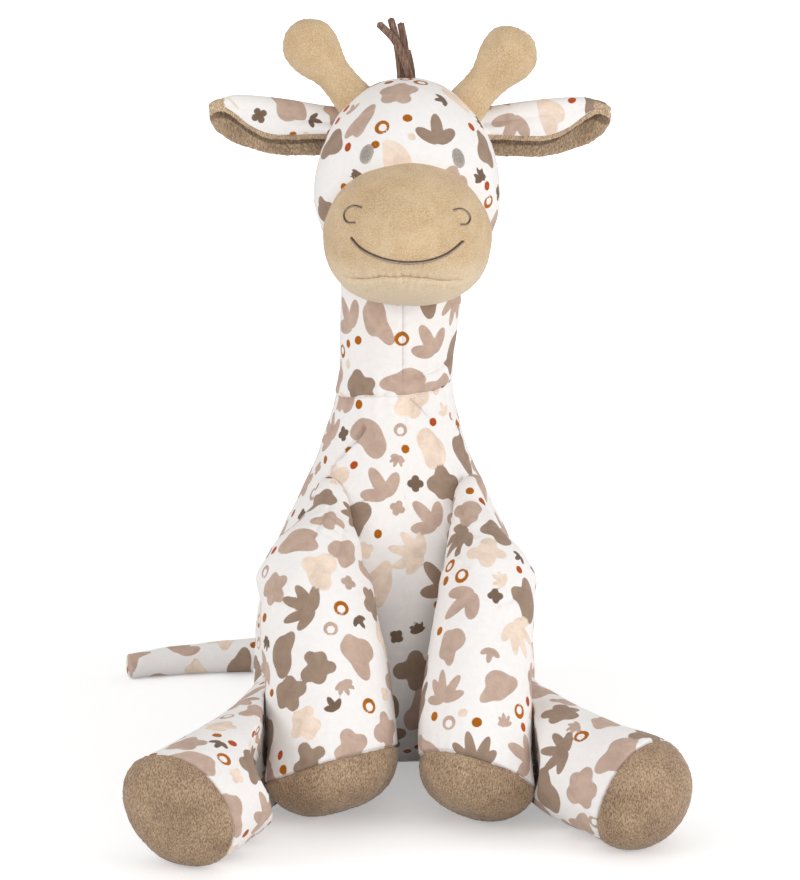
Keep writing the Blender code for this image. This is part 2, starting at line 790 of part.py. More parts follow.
def front_foot(side, aside, forward):
    """The middle of the sole's seam when the round sole rests on the floor."""
    foot = Vector((aside, -forward, FRONT_SOLE_DOME))
    points, radii = front_leg_path(side, foot)
    slope = (points[-1] - points[-2]).normalized().z
    across = math.sqrt(1 - slope**2)
    foot.z = math.hypot(slope * FRONT_SOLE_DOME, across * radii[-1]) - 2 * FLOOR_FLAT
    return foot


def front_leg_form(side, extra):
    """A whole front leg with its sole, grown by the clearance."""
    points, radii = front_leg_path(side, front_leg_ends[side][1])
    direction = (points[-1] - points[-2]).normalized()
    dome_points, dome_radii = dome(points[-1], direction, radii[-1], FRONT_SOLE_DOME)
    points += dome_points[1:]
    radii += dome_radii[1:]
    grown = extra + FACET_GAP
    radii = [radius + grown for radius in radii]
    points[-1] = points[-1] + direction * grown
    return tube(points, radii, "front_leg_form", cutters, LIMB_BEVEL_STEPS)


def join_ball(obj, centre, radius):
    cut(obj, cutter_from(ball(centre, radius), f"{obj.name}_ball"), "UNION")


def make_front_legs():
    for side, (shoulder, foot) in front_leg_ends.items():
        points, radii = front_leg_path(side, foot)
        direction = (points[-1] - points[-2]).normalized()
        bm = tube(points, radii, "leg", parts, LIMB_BEVEL_STEPS)
        leg = object_from(above_floor(bm), f"{side}_front_leg", parts)
        clear_swing(leg, torso_form, shoulder, "X", (0, -SHOULDER_RAISE), SHOULDER_STEPS)
        join_ball(leg, shoulder, SHOULDER_BALL_RADIUS)
        finish(bake(leg), printed)
        seam = points[-1] + direction * FIT_GAP
        pad_points, pad_radii = dome(seam, direction, radii[-1], FRONT_SOLE_DOME)
        bm = tube(pad_points, pad_radii, "pad", parts, LIMB_BEVEL_STEPS)
        finish(object_from(above_floor(bm), f"{side}_front_sole", parts), brown)


def hind_leg_path(hip, knee, foot):
    points = []
    radii = []
    for share, radius in HIND_LEG_SHARES:
        points.append(bezier([hip, knee, foot], share))
        radii.append(radius * HIND_FOOT_RADIUS)
    return points, radii


def make_hind_legs():
    for side, (hip, knee, foot) in hind_leg_ends.items():
        turn = HIP_SPLAY if side == "left" else -HIP_SPLAY
        points, radii = hind_leg_path(hip, knee, foot)
        direction = (points[-1] - points[-2]).normalized()
        bm = tube(points, radii, "leg", parts, LIMB_BEVEL_STEPS)
        leg = object_from(above_floor(bm), f"{side}_hind_leg", parts)
        clear_swing(leg, torso_form, hip, "Z", (0, turn), HIP_STEPS)
        join_ball(leg, hip, HIP_BALL_RADIUS)
        shoulder = front_leg_ends[side][0]
        clear_swing(leg, front_leg_forms[side], shoulder, "X", (0, LEG_SWEEP), SWEEP_STEPS)
        finish(bake(leg), printed)
        seam = points[-1] + direction * FIT_GAP
        pad_points, pad_radii = dome(seam, direction, HIND_FOOT_RADIUS, HIND_SOLE_DOME)
        bm = tube(pad_points, pad_radii, "pad", parts, LIMB_BEVEL_STEPS)
        finish(object_from(above_floor(bm), f"{side}_hind_sole", parts), brown)


def make_tail():
    points = []
    radii = []
    end = tail_root + Vector((-TAIL_REACH_SIDE, TAIL_REACH_BACK, 0))
    bend = tail_root + Vector((-TAIL_REACH_SIDE / 4, TAIL_REACH_BACK + TAIL_BULGE_BACK, 0))
    for i in range(TAIL_POINTS):
        share = i / (TAIL_POINTS - 1)
        radius = TAIL_ROOT_RADIUS + (TAIL_END_RADIUS - TAIL_ROOT_RADIUS) * share
        point = bezier([tail_root, bend, end], share)
        settle = min(1, share / TAIL_SETTLE_SHARE)
        lying = radius - FLOOR_FLAT
        point.z = tail_root.z + (lying - tail_root.z) * settle * settle * (3 - 2 * settle)
        points.append(point)
        radii.append(radius)
    bm = tube(points, radii, "tail", parts, LIMB_BEVEL_STEPS)
    tail = object_from(above_floor(bm), "tail", parts)
    clear_swing(tail, torso_form, tail_root, "Z", (0, -TAIL_SWING), TAIL_STEPS)
    join_ball(tail, tail_root, TAIL_ROOT_RADIUS)
    finish(bake(tail), printed)


def hang_pieces():
    """Puts the origin of each moving piece on the axis that it turns about."""
    for joint, names in JOINT_PIECES.items():
        place = joint_places[joint]
        for name in names:
            obj = bpy.data.objects[name]
            obj.data.transform(Matrix.Translation(-place))
            obj.location = place


empty_scene()
parts = new_collection("plush_giraffe")
cutters = new_collection("cutters")

printed = cloth("printed minky", PRINTED_CLOTH, 0.9)
tan = cloth("tan velboa", TAN_PLUSH, 0.9)
brown = cloth("brown plush", BROWN_PLUSH, 0.95)
suede = cloth("suede strip", SUEDE, 0.9)
thread = cloth("grey embroidery thread", GREY_THREAD, 0.6)
canvas = cloth("pellet bag canvas", CANVAS, 0.9)

shoulder_balls = {
    "right_shoulder": Vector((RIGHT_SHOULDER_SIDE, -SHOULDER_FORWARD, SHOULDER_HEIGHT)),
    "left_shoulder": Vector((LEFT_SHOULDER_SIDE, -SHOULDER_FORWARD, SHOULDER_HEIGHT)),
}
front_leg_shares = {"right": RIGHT_FRONT_LEG_SHARES, "left": LEFT_FRONT_LEG_SHARES}
front_foot_radii = {"right": RIGHT_FRONT_FOOT_RADIUS, "left": LEFT_FRONT_FOOT_RADIUS}
front_leg_ends = {
    "right": (
        shoulder_balls["right_shoulder"],
        front_foot("right", RIGHT_FRONT_FOOT_SIDE, RIGHT_FRONT_FOOT_FORWARD),
    ),
    "left": (
        shoulder_balls["left_shoulder"],
        front_foot("left", LEFT_FRONT_FOOT_SIDE, LEFT_FRONT_FOOT_FORWARD),
    ),
}
hip_balls = {
    "right_hip": Vector((-HIP_SIDE, -HIP_FORWARD, HIP_HEIGHT)),
    "left_hip": Vector((HIP_SIDE, -HIP_FORWARD, HIP_HEIGHT)),
}
lying_height = HIND_FOOT_RADIUS - FLOOR_FLAT
hind_leg_ends = {
    "right": (
        hip_balls["right_hip"],
        Vector((RIGHT_KNEE_SIDE, -RIGHT_KNEE_FORWARD, lying_height)),
        Vector((RIGHT_HIND_FOOT_SIDE, -RIGHT_HIND_FOOT_FORWARD, lying_height)),
    ),
    "left": (
        hip_balls["left_hip"],
        Vector((LEFT_KNEE_SIDE, -LEFT_KNEE_FORWARD, lying_height)),
        Vector((LEFT_HIND_FOOT_SIDE, -LEFT_HIND_FOOT_FORWARD, lying_height)),
    ),
}
tail_root = Vector((TAIL_ROOT_SIDE, TORSO_DEPTH / 2, TAIL_ROOT_HEIGHT))


def right_front_leg_form(extra):
    return front_leg_form("right", extra)


def left_front_leg_form(extra):
    return front_leg_form("left", extra)


front_leg_forms = {"right": right_front_leg_form, "left": left_front_leg_form}
joint_places = {
    "neck": Vector((0, 0, NECK_BASE_Z)),
    "head": Vector((0, 0, NECK_TOP_Z)),
    "right_ear": ear_hinge(-1),
    "left_ear": ear_hinge(1),
    "right_shoulder": shoulder_balls["right_shoulder"],
    "left_shoulder": shoulder_balls["left_shoulder"],
    "right_hip": hip_balls["right_hip"],
    "left_hip": hip_balls["left_hip"],
    "tail": tail_root,
}

make_torso()
make_seat()
make_neck()
make_head()
make_muzzle()
make_face()
make_horns()
make_tuft()
make_ears()
make_front_legs()
make_hind_legs()
make_tail()
hang_pieces()
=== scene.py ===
import math

import bmesh
import bpy
import numpy as np
from mathutils import Matrix, Vector, noise
from mathutils.bvhtree import BVHTree


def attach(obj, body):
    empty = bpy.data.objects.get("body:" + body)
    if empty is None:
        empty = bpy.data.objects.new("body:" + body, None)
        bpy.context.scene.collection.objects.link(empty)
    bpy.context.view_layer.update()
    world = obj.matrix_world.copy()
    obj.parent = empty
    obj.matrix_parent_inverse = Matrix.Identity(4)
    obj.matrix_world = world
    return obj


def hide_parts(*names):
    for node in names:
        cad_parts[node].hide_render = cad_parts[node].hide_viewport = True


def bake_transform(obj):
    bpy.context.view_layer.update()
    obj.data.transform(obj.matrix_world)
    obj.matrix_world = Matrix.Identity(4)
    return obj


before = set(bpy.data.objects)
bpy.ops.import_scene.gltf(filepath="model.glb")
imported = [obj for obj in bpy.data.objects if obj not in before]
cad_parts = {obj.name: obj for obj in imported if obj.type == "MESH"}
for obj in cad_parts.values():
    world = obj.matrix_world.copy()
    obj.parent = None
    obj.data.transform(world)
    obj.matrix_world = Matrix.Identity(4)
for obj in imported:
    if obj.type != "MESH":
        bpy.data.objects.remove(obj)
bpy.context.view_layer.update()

# The camera stands 1.6 m in front of the seated giraffe and looks down at it by 12 degrees.
# Its long lens keeps the sides nearly parallel, as a product photographer's does.
camera_aim = Vector((0.002, 0, 0.2))
camera_distance = 1.6
camera_pitch = math.radians(12)
lens = bpy.data.cameras.new("camera")
lens.lens = 100.68
lens.sensor_width = 36
lens.clip_start = 0.05
lens.clip_end = 20
camera = bpy.data.objects.new("camera", lens)
camera_back = Vector((0, -math.cos(camera_pitch), math.sin(camera_pitch))) * camera_distance
camera.location = camera_aim + camera_back
camera.rotation_euler = (math.pi / 2 - camera_pitch, 0, 0)
bpy.context.scene.collection.objects.link(camera)
bpy.context.scene.camera = camera

# The studio is a white paper floor under a white tent, with a big soft lamp on each side and a low
# one in front. The paper shows white to the camera and still takes the toy's soft shadow.
bpy.context.scene.view_settings.view_transform = "Standard"


def linear(code):
    """The linear red, green, blue and alpha of an sRGB hex colour."""
    shares = [int(code[i : i + 2], 16) / 255 for i in (1, 3, 5)]
    return (*((c / 12.92 if c <= 0.04045 else ((c + 0.055) / 1.055) ** 2.4) for c in shares), 1.0)


def plug(tree, node, inputs):
    """Gives a node's inputs their values, or joins them to another node's output."""
    for key, value in inputs.items():
        if isinstance(value, bpy.types.NodeSocket):
            tree.links.new(value, node.inputs[key])
        else:
            node.inputs[key].default_value = value


def add(tree, kind, inputs=None, **traits):
    """Adds a shader node with its own traits, and with its inputs' values or links."""
    made = tree.nodes.new("ShaderNode" + kind)
    for name, value in traits.items():
        setattr(made, name, value)
    plug(tree, made, inputs or {})
    return made


def to_the_eye(tree):
    """1 on a ray that the camera sees, also in a shine or through glass, and 0 on light's own way."""
    rays = add(tree, "LightPath").outputs
    seen = add(tree, "Math", {0: rays["Is Camera Ray"], 1: rays["Is Glossy Ray"]}, operation="MAXIMUM")
    seen = add(tree, "Math", {0: seen.outputs[0], 1: rays["Is Transmission Ray"]}, operation="MAXIMUM")
    return seen.outputs[0]


def as_object(bm, name):
    """Turns a bmesh into a smooth shaded object at the origin."""
    mesh = bpy.data.meshes.new(name)
    bm.to_mesh(mesh)
    bm.free()
    mesh.shade_smooth()
    obj = bpy.data.objects.new(name, mesh)
    bpy.context.scene.collection.objects.link(obj)
    return obj


floor_half = 30
bm = bmesh.new()
bmesh.ops.create_grid(bm, x_segments=1, y_segments=1, size=floor_half)
floor = as_object(bm, "paper_floor")
paper = bpy.data.materials.new("white studio paper")
paper.use_nodes = True
tree = paper.node_tree
tree.nodes.clear()
seen = to_the_eye(tree)
# Uncoated paper is evenly matt, so it needs no shine and no grain at this distance.
matt = add(tree, "BsdfDiffuse", {"Color": linear("#EDEDED")})
spot = add(tree, "TexCoord").outputs["Object"]
away = add(tree, "VectorMath", {0: spot}, operation="LENGTH").outputs["Value"]
# The lift to white is weak round the toy, where its shadow lies, and full from 1.6 m on.
lifted = {"Value": away, "From Min": 0.35, "From Max": 1.6, "To Min": 0.34, "To Max": 1.0}
far = add(tree, "MapRange", lifted)
share = add(tree, "Math", {0: seen, 1: far.outputs[0]}, operation="MULTIPLY")
lift = add(tree, "Emission", {"Color": linear("#FFFFFF"), "Strength": share.outputs[0]})
both = add(tree, "AddShader", {0: matt.outputs[0], 1: lift.outputs[0]})
add(tree, "OutputMaterial", {"Surface": both.outputs[0]})
floor.data.materials.append(paper)

world = bpy.data.worlds.new("studio")
world.use_nodes = True
bpy.context.scene.world = world
tree = world.node_tree
tree.nodes.clear()
seen = to_the_eye(tree)
tent = add(tree, "Background", {"Color": linear("#FFFFFF"), "Strength": 0.68})
white = add(tree, "Background", {"Color": linear("#FFFFFF"), "Strength": 1.0})
sky = add(tree, "MixShader", {0: seen, 1: tent.outputs[0], 2: white.outputs[0]})
add(tree, "OutputWorld", {"Surface": sky.outputs[0]})

lamps_aim = Vector((0, 0, 0.22))
# Each lamp's name, place, width in metres and power in watts.
for name, place, size, power in (
    ("left_lamp", Vector((-1.55, -1.0, 0.80)), 1.0, 10),
    ("right_lamp", Vector((1.6, -0.9, 0.60)), 1.0, 12.5),
    ("front_lamp", Vector((0.25, -1.6, 0.30)), 0.45, 2.6),
):
    lamp = bpy.data.lights.new(name, "AREA")
    lamp.shape = "DISK"
    lamp.size = size
    lamp.energy = power
    stand = bpy.data.objects.new(name, lamp)
    stand.location = place
    stand.rotation_euler = (lamps_aim - place).to_track_quat("-Z", "Y").to_euler()
    bpy.context.scene.collection.objects.link(stand)

# The torso is a pear of printed minky, stuffed with polyester fibre through a seam in the back.
# Darts at its shoulders and the seam round its neck draw the cloth in, with small puckers.


def ring_place(centre, along, across, width, depth):
    """The matrix that puts a unit ring of cloth square to a form's run."""
    along = along.normalized()
    across = (across - along * across.dot(along)).normalized()
    second = along.cross(across)
    place = Matrix.Identity(4)
    for row in range(3):
        place[row][0] = across[row] * width
        place[row][1] = second[row] * depth
        place[row][2] = along[row]
        place[row][3] = centre[row]
    return place


def stuffed_tube(places, sides):
    """Extrudes a ring of cloth from place to place and gathers it to a point at both ends."""
    bm = bmesh.new()
    bmesh.ops.create_circle(bm, cap_ends=False, segments=sides, radius=1)
    bmesh.ops.transform(bm, matrix=places[0], verts=bm.verts)
    first = bm.verts[:]
    edges = bm.edges[:]
    for last, place in zip(places, places[1:]):
        grown = bmesh.ops.extrude_edge_only(bm, edges=edges)["geom"]
        ring = [item for item in grown if isinstance(item, bmesh.types.BMVert)]
        edges = [item for item in grown if isinstance(item, bmesh.types.BMEdge)]
        edges = [edge for edge in edges if len(edge.link_faces) == 1]
        bmesh.ops.transform(bm, matrix=place @ last.inverted(), verts=ring)
    bmesh.ops.pointmerge(bm, verts=first, merge_co=places[0].translation)
    bmesh.ops.pointmerge(bm, verts=ring, merge_co=places[-1].translation)
    bmesh.ops.recalc_face_normals(bm, faces=bm.faces)
    return bm


def eased(knots, shares):
    """Smooth values between rows of knots whose first number is their place."""
    table = np.array(knots, float)
    at, values = table[:, 0], table[:, 1:]
    slopes = np.gradient(values, at, axis=0)
    i = np.clip(np.searchsorted(at, shares) - 1, 0, len(at) - 2)
    span = (at[i + 1] - at[i])[:, None]
    t = (np.asarray(shares) - at[i])[:, None] / span
    near = (1 + 2 * t) * (1 - t) ** 2 * values[i] + t * (1 - t) ** 2 * span * slopes[i]
    far = t * t * (3 - 2 * t) * values[i + 1] + t * t * (t - 1) * span * slopes[i + 1]
    return near + far


def filled_in(rows, count):
    """Even rows of a form between the given ones, eased from each to the next."""
    at = np.linspace(rows[0][0], rows[-1][0], count)
    return [(place, *row) for place, row in zip(at, eased(rows, at))]


def points_of(obj):
    """The places and the outward directions of a piece's points."""
    mesh = obj.data
    points = np.empty(len(mesh.vertices) * 3)
    mesh.vertices.foreach_get("co", points)
    outward = np.empty(len(mesh.vertices) * 3, np.float32)
    mesh.vertex_normals.foreach_get("vector", outward)
    return points.reshape(-1, 3), outward.reshape(-1, 3).astype(float)


def move_points(obj, points):
    """Writes a piece's points back."""
    obj.data.vertices.foreach_set("co", np.ascontiguousarray(points).ravel())
    obj.data.update()


def lumps(points, grain, seed):
    """Smooth noise from -1 to 1 at each point, its bumps about grain across."""
    offset = np.array((seed * 3.17, seed * 1.31, seed * 0.77))
    return np.array([noise.noise(p) for p in points / grain + offset])


def along_seam(points, outward, path):
    """Each point's distance from a seam, how far along it is, its side and the seam's length."""
    gap = np.full(len(points), np.inf)
    run = np.zeros(len(points))
    side = np.zeros(len(points))
    done = 0.0
    for start, end in zip(path, path[1:]):
        start, step = np.array(start), np.array(end) - np.array(start)
        length = np.linalg.norm(step)
        t = np.clip((points - start) @ step / length**2, 0, 1)
        apart = points - start - t[:, None] * step
        away = np.linalg.norm(apart, axis=1)
        nearer = away < gap
        gap[nearer] = away[nearer]
        run[nearer] = done + t[nearer] * length
        side[nearer] = np.einsum("ij,ij->i", apart, np.cross(outward, step / length))[nearer]
        done += length
    return gap, run, side, done


# A piece keeps a seam mark at each point: the distance in mm, its sign telling the side of the
# seam, and how dark its painted shade is. The materials paint that shade where two cloths meet.
unmarked = (9.0, 0.0, 0.0)
mark_reach_mm, line_reach_mm = 5, 4.5
# A line fades over this share of its length at each end.
line_fade = 0.1


def mark_painted_shade(obj, gap, share, side, line, closed):
    """Marks a seam, or another line of painted shade, on a piece where it is nearer than those marked
    before.
    """
    layer = obj.data.attributes.get("seam")
    kept = np.tile(np.array(unmarked, np.float32), (len(gap), 1))
    if layer is None:
        layer = obj.data.attributes.new("seam", "FLOAT_VECTOR", "POINT")
    else:
        layer.data.foreach_get("vector", kept.reshape(-1))
    ends = np.clip(share / line_fade, 0, 1) * np.clip((1 - share) / line_fade, 0, 1)
    away_mm = gap * 1000
    near = away_mm < np.minimum(np.abs(kept[:, 0]), mark_reach_mm)
    dark = line * (1 if closed else ends) * np.clip(line_reach_mm - away_mm, 0, 1)
    kept[near, 0] = (away_mm * np.sign(side))[near]
    kept[near, 1] = dark[near]
    layer.data.foreach_set("vector", kept.ravel())


# The puckers along a seam drift to and fro by up to 2.4 radians, over 13 mm of cloth. A folded lip
# has an edge of 0.6 mm and dies away over 6 mm.
sway_grain, sway_most = 0.013, 2.4
lip_edge, lip_width = 0.0006, 0.006


def sew(
    obj, path, depth=0.0014, width=0.0016, pucker=0.0007, reach=0.010, pitch=0.0085,
    lip=0, seed=1, line=0.0, closed=False,
):
    """Draws the cloth in along a seam and puckers it. A lip folds one side over the other."""
    points, outward = points_of(obj)
    gap, run, side, length = along_seam(points, outward, path)
    # The seam's line is marked for painted shade, as dark as line gives.
    mark_painted_shade(obj, gap, run / length, side, line, closed)
    near = gap < reach * 3
    gap, run, side = gap[near], run[near], side[near]
    groove = depth * np.exp(-((gap / width) ** 2))
    sway = lumps(points[near], sway_grain, seed) * sway_most
    wave = np.sin(run * math.tau / pitch + sway) * np.exp(-gap / reach)
    rise = pucker * wave * (1 - np.exp(-((gap / width) ** 2)))
    over = 0.5 + 0.5 * np.tanh(side * math.copysign(1, lip) / lip_edge)
    # A lip is full in the middle of its seam and flattens towards both ends.
    fade = np.sin(np.clip(run / length, 0.02, 0.98) * math.pi) ** 0.5
    rise += abs(lip) * over * np.exp(-gap / lip_width) * fade
    points[near] += outward[near] * (rise - groove)[:, None]
    move_points(obj, points)


def settle(obj, least=0.0007):
    """Flattens what would sink into the floor, with a soft edge round the flat."""
    points, _ = points_of(obj)
    z = points[:, 2]
    points[:, 2] = (z + np.sqrt(z * z + 4 * least * least)) / 2
    move_points(obj, points)


# Knots of fibre show as lumps 2.8 times smaller and 0.3 as high. The nap's own are 3 mm by 0.12 mm.
knot_finer, knot_share = 2.8, 0.30
nap_grain, nap_height = 0.0030, 0.00012


def swell(obj, grain, height, seed, nap_share=1):
    """The slow lumps that stuffing gives a cover, with smaller ones on them and the nap's own."""
    points, outward = points_of(obj)
    rise = lumps(points, grain, seed) + knot_share * lumps(points, grain / knot_finer, seed + 0.5)
    nap = lumps(points, nap_grain, seed + 1.5) * nap_height
    points += outward * (rise * height + nap * nap_share)[:, None]
    move_points(obj, points)


def roughen(obj, *layers, share=1):
    """Raises and lowers a cover's points by layers of lumps: their grain, height and seed."""
    points, outward = points_of(obj)
    rise = sum(lumps(points, grain, seed) * height for grain, height, seed in layers)
    points += outward * (rise * share)[:, None]
    move_points(obj, points)
    return points


# The cloth is printed with plain motifs: pebbles, clouds, sprigs, clovers, rings and dots.
# Each is drawn as a distance from its edge, negative inside, in metres across the cloth.
mauve, taupe, umber = linear("#C8AE9E"), linear("#A18A78"), linear("#7A6555")
cream, ochre, rust = linear("#F2DECC"), linear("#B2660C"), linear("#B6501E")
three_leaves = ((-0.9, 0.78), (0.0, 1.0), (0.9, 0.78))
five_leaves = ((-1.2, 0.68), (-0.6, 0.9), (0.0, 1.0), (0.6, 0.9), (1.2, 0.68))


def oval(u, v, length, breadth):
    """The distance from a flat oval's edge, negative inside."""
    reach = np.hypot(u / length, v / breadth)
    return (reach - 1) * np.hypot(u, v) / np.maximum(reach, 1e-9)


def pebble(u, v, size, shape):
    """A rounded patch with an uneven edge."""
    length, breadth = size, size * shape.uniform(0.58, 0.78)
    angle = np.arctan2(v / breadth, u / length)
    edge = np.ones_like(u)
    for turns, most in ((2, 0.12), (3, 0.20), (4, 0.10), (5, 0.07)):
        edge += shape.uniform(0.4, 1) * most * np.cos(turns * angle + shape.uniform(0, math.tau))
    reach = np.hypot(u / length, v / breadth)
    return (reach - 0.94 * edge) * breadth


def cloud(u, v, size, shape):
    """Round lobes run together, large and small."""
    found = np.hypot(u, v) - size * 0.42
    lobes = shape.integers(4, 6)
    start = shape.uniform(0, math.tau)
    for i in range(lobes):
        turn = start + (i + shape.uniform(-0.15, 0.15)) * math.tau / lobes
        reach = size * shape.uniform(0.46, 0.62)
        lobe = np.hypot(u - reach * math.cos(turn), v - reach * math.sin(turn))
        lobe -= size * shape.uniform(0.26, 0.38)
        blend = np.clip(0.5 + 0.5 * (lobe - found) / (0.25 * size), 0, 1)
        found = lobe + (found - lobe) * blend - 0.25 * size * blend * (1 - blend)
    return found


def sprig(u, v, size, shape):
    """Three broad or five narrow leaves that spread from one foot."""
    found = np.full_like(u, np.inf)
    leaves, breadth = (three_leaves, 0.30) if shape.random() < 0.5 else (five_leaves, 0.23)
    for turn, share in leaves:
        turn += shape.uniform(-0.08, 0.08)
        c, s = math.cos(turn), math.sin(turn)
        along, aside = (u + size * 0.7) * c + v * s, -(u + size * 0.7) * s + v * c
        leaf = size * 0.80 * share
        found = np.minimum(found, oval(along - leaf, aside, leaf, size * breadth))
    return found


def clover(u, v, size, shape):
    """Four round petals that touch in the middle."""
    found = np.hypot(u, v) - size * 0.3
    for x, y in ((1, 0), (0, 1), (-1, 0), (0, -1)):
        found = np.minimum(found, np.hypot(u - 0.5 * x * size, v - 0.5 * y * size) - size * 0.42)
    return found


def ring(u, v, size, shape):
    """A hand-drawn ring, thicker on one side."""
    angle = np.arctan2(v, u)
    half = size * (0.22 + 0.06 * np.cos(angle))
    return np.abs(np.hypot(u, v) - size * 0.74) - half


def dot(u, v, size, shape):
    """A nearly round dot."""
    return oval(u, v, size, size * shape.uniform(0.82, 1))


# A row for each sort of motif: its kinds, its radius, the least gap to the next, how much sizes
# vary, the inks it comes in and how often a place is tried on each radius squared of cloth.
motif_sorts = (
    (
        (pebble, cloud, sprig, pebble, cloud), 0.0142, -0.0008, 0.22,
        (mauve, mauve, taupe, mauve, cream, taupe), 1.6,
    ),
    ((clover, sprig), 0.0058, 0.0016, 0.30, (umber, mauve, umber, cream), 0.10),
    ((ring,), 0.0048, 0.0016, 0.15, (ochre, ochre, mauve), 0.06),
    ((dot,), 0.0030, 0.0020, 0.18, (rust, ochre, rust, ochre, cream), 0.05),
)
own_ground = 0.86
least_tries = 12
# A motif is drawn on cloth that faces roughly as its middle does, out to 1.7 radii and 4 mm more.
motif_span, motif_margin = 1.7, 0.004
least_alike = 0.15
# Bare cloth counts as this many mm from any motif.
bare_mm = 5.0


def print_cloth(obj, seed, fill=1.0, through=False):
    """Scatters motifs over a piece and keeps each point's ink and its mm from a motif's edge."""
    shape = np.random.default_rng(seed)
    points, outward = points_of(obj)
    area = sum(face.area for face in obj.data.polygons)
    ink = np.ones((len(points), 4), np.float32)
    ink[:, 3] = bare_mm
    middles = np.empty((0, 3))
    sizes = np.empty(0)
    order = shape.permutation(len(points))
    at = 0
    for kinds, size, gap, spread, inks, tries in motif_sorts:
        for _ in range(int(fill * tries * area / (size * size)) + least_tries):
            place = order[at % len(order)]
            at += 1
            own = size * shape.uniform(1 - spread / 2, 1 + spread / 3)
            middle = points[place]
            room = sizes + own * own_ground + gap
            if len(middles) and (np.linalg.norm(middles - middle, axis=1) < room).any():
                continue
            draw = kinds[shape.integers(len(kinds))]
            middles = np.vstack((middles, middle))
            sizes = np.append(sizes, own * own_ground)
            step = points - middle
            away = np.linalg.norm(step, axis=1)
            up = outward[place]
            alike = outward @ up
            alike = np.abs(alike) if through else alike
            near = np.flatnonzero((away < own * motif_span + motif_margin) & (alike > least_alike))
            turn = shape.uniform(0, math.tau)
            side = np.cross(up, (math.cos(turn), math.sin(turn), 0.31))
            side /= np.linalg.norm(side)
            u, v = step[near] @ side, step[near] @ np.cross(up, side)
            flat = np.maximum(np.hypot(u, v), 1e-9)
            u, v = u * away[near] / flat, v * away[near] / flat
            edge = draw(u, v, own, shape) * 1000
            tint = inks[shape.integers(len(inks))][:3]
            closer = edge < ink[near, 3]
            ink[near[closer], 3] = edge[closer]
            ink[near[closer], :3] = tint
    layer = obj.data.attributes.new("print", "FLOAT_COLOR", "POINT")
    layer.data.foreach_set("color", ink.ravel())


def new_material(name):
    """A material, its node tree, its shader and the piece's own coordinates."""
    made = bpy.data.materials.new(name)
    made.use_nodes = True
    tree = made.node_tree
    return made, tree, tree.nodes["Principled BSDF"], add(tree, "TexCoord").outputs["Object"]


def with_painted_seam_shade(tree, colour, dark):
    """The colour with painted shade along the marked seams, where no light gets down between the cloths."""
    marks = add(tree, "Attribute", attribute_name="seam", attribute_type="GEOMETRY")
    marks = add(tree, "SeparateXYZ", {0: marks.outputs["Vector"]}).outputs
    away = add(tree, "Math", {0: marks["X"]}, operation="ABSOLUTE").outputs[0]
    thread_wide = {"Value": away, "From Min": 0.10, "From Max": 0.75, "To Min": 1, "To Max": 0}
    line = add(tree, "MapRange", thread_wide)
    share = add(tree, "Math", {0: line.outputs[0], 1: marks["Y"]}, operation="MULTIPLY")
    shades = {0: share.outputs[0], 6: colour, 7: linear(dark)}
    return add(tree, "Mix", shades, data_type="RGBA").outputs[2]


# Minky is knitted polyester with a 1 mm shaved pile. It is soft, matt and paler at its edges, and
# the print has sunk into the pile, so motifs have fuzzy rims and brushed patches inside.
# Tufts of pile are 0.3 mm apart, drawn at 0.7 mm to show: 1500 to the metre. Hands leave strokes
# about 11 mm across in the pile, 90 to the metre, and the white varies over 3 mm, 300 to the metre.
printed_minky, tree, shader, place = new_material("printed minky")
nap = add(tree, "TexNoise", {"Vector": place, "Scale": 1500, "Detail": 2, "Roughness": 0.6})
faint = add(tree, "TexNoise", {"Vector": place, "Scale": 300, "Detail": 3, "Roughness": 0.7})
printed = add(tree, "Attribute", attribute_name="print", attribute_type="GEOMETRY")
frayed = add(tree, "Math", {0: nap.outputs["Fac"], 1: 0.7, 2: -0.35}, operation="MULTIPLY_ADD")
rim = add(tree, "Math", {0: printed.outputs["Alpha"], 1: frayed.outputs[0]}, operation="ADD")
rim_mm = {"Value": rim.outputs[0], "From Min": 0.22, "From Max": -0.22}
inked = add(tree, "MapRange", rim_mm)
strokes = {"Vector": place, "Scale": 90, "Detail": 4, "Roughness": 0.7, "Distortion": 0.5}
stroked = add(tree, "TexNoise", strokes).outputs["Fac"]
wear = {"Value": stroked, "From Min": 0.34, "From Max": 0.66, "To Min": 0.0, "To Max": 0.32}
brushed = add(tree, "MapRange", wear)
inks = {0: brushed.outputs[0], 6: printed.outputs["Color"], 7: linear("#A0948C")}
ink = add(tree, "Mix", inks, data_type="RGBA", blend_type="MULTIPLY")
whites = {0: faint.outputs["Fac"], 6: linear("#F4F1EF"), 7: linear("#E9E5E2")}
ground = add(tree, "Mix", whites, data_type="RGBA")
both = {0: inked.outputs[0], 6: ground.outputs[2], 7: ink.outputs[2]}
colour = add(tree, "Mix", both, data_type="RGBA").outputs[2]
pile = add(tree, "Bump", {"Strength": 0.35, "Distance": 0.0004, "Height": nap.outputs["Fac"]})
# The seams get painted shade in #6F655F.
plug(tree, shader, {
    "Base Color": with_painted_seam_shade(tree, colour, "#6F655F"),
    "Normal": pile.outputs["Normal"],
    "Roughness": 0.92,
    "Specular IOR Level": 0.15,
    "Sheen Weight": 0.11,
    "Sheen Roughness": 0.45,
})

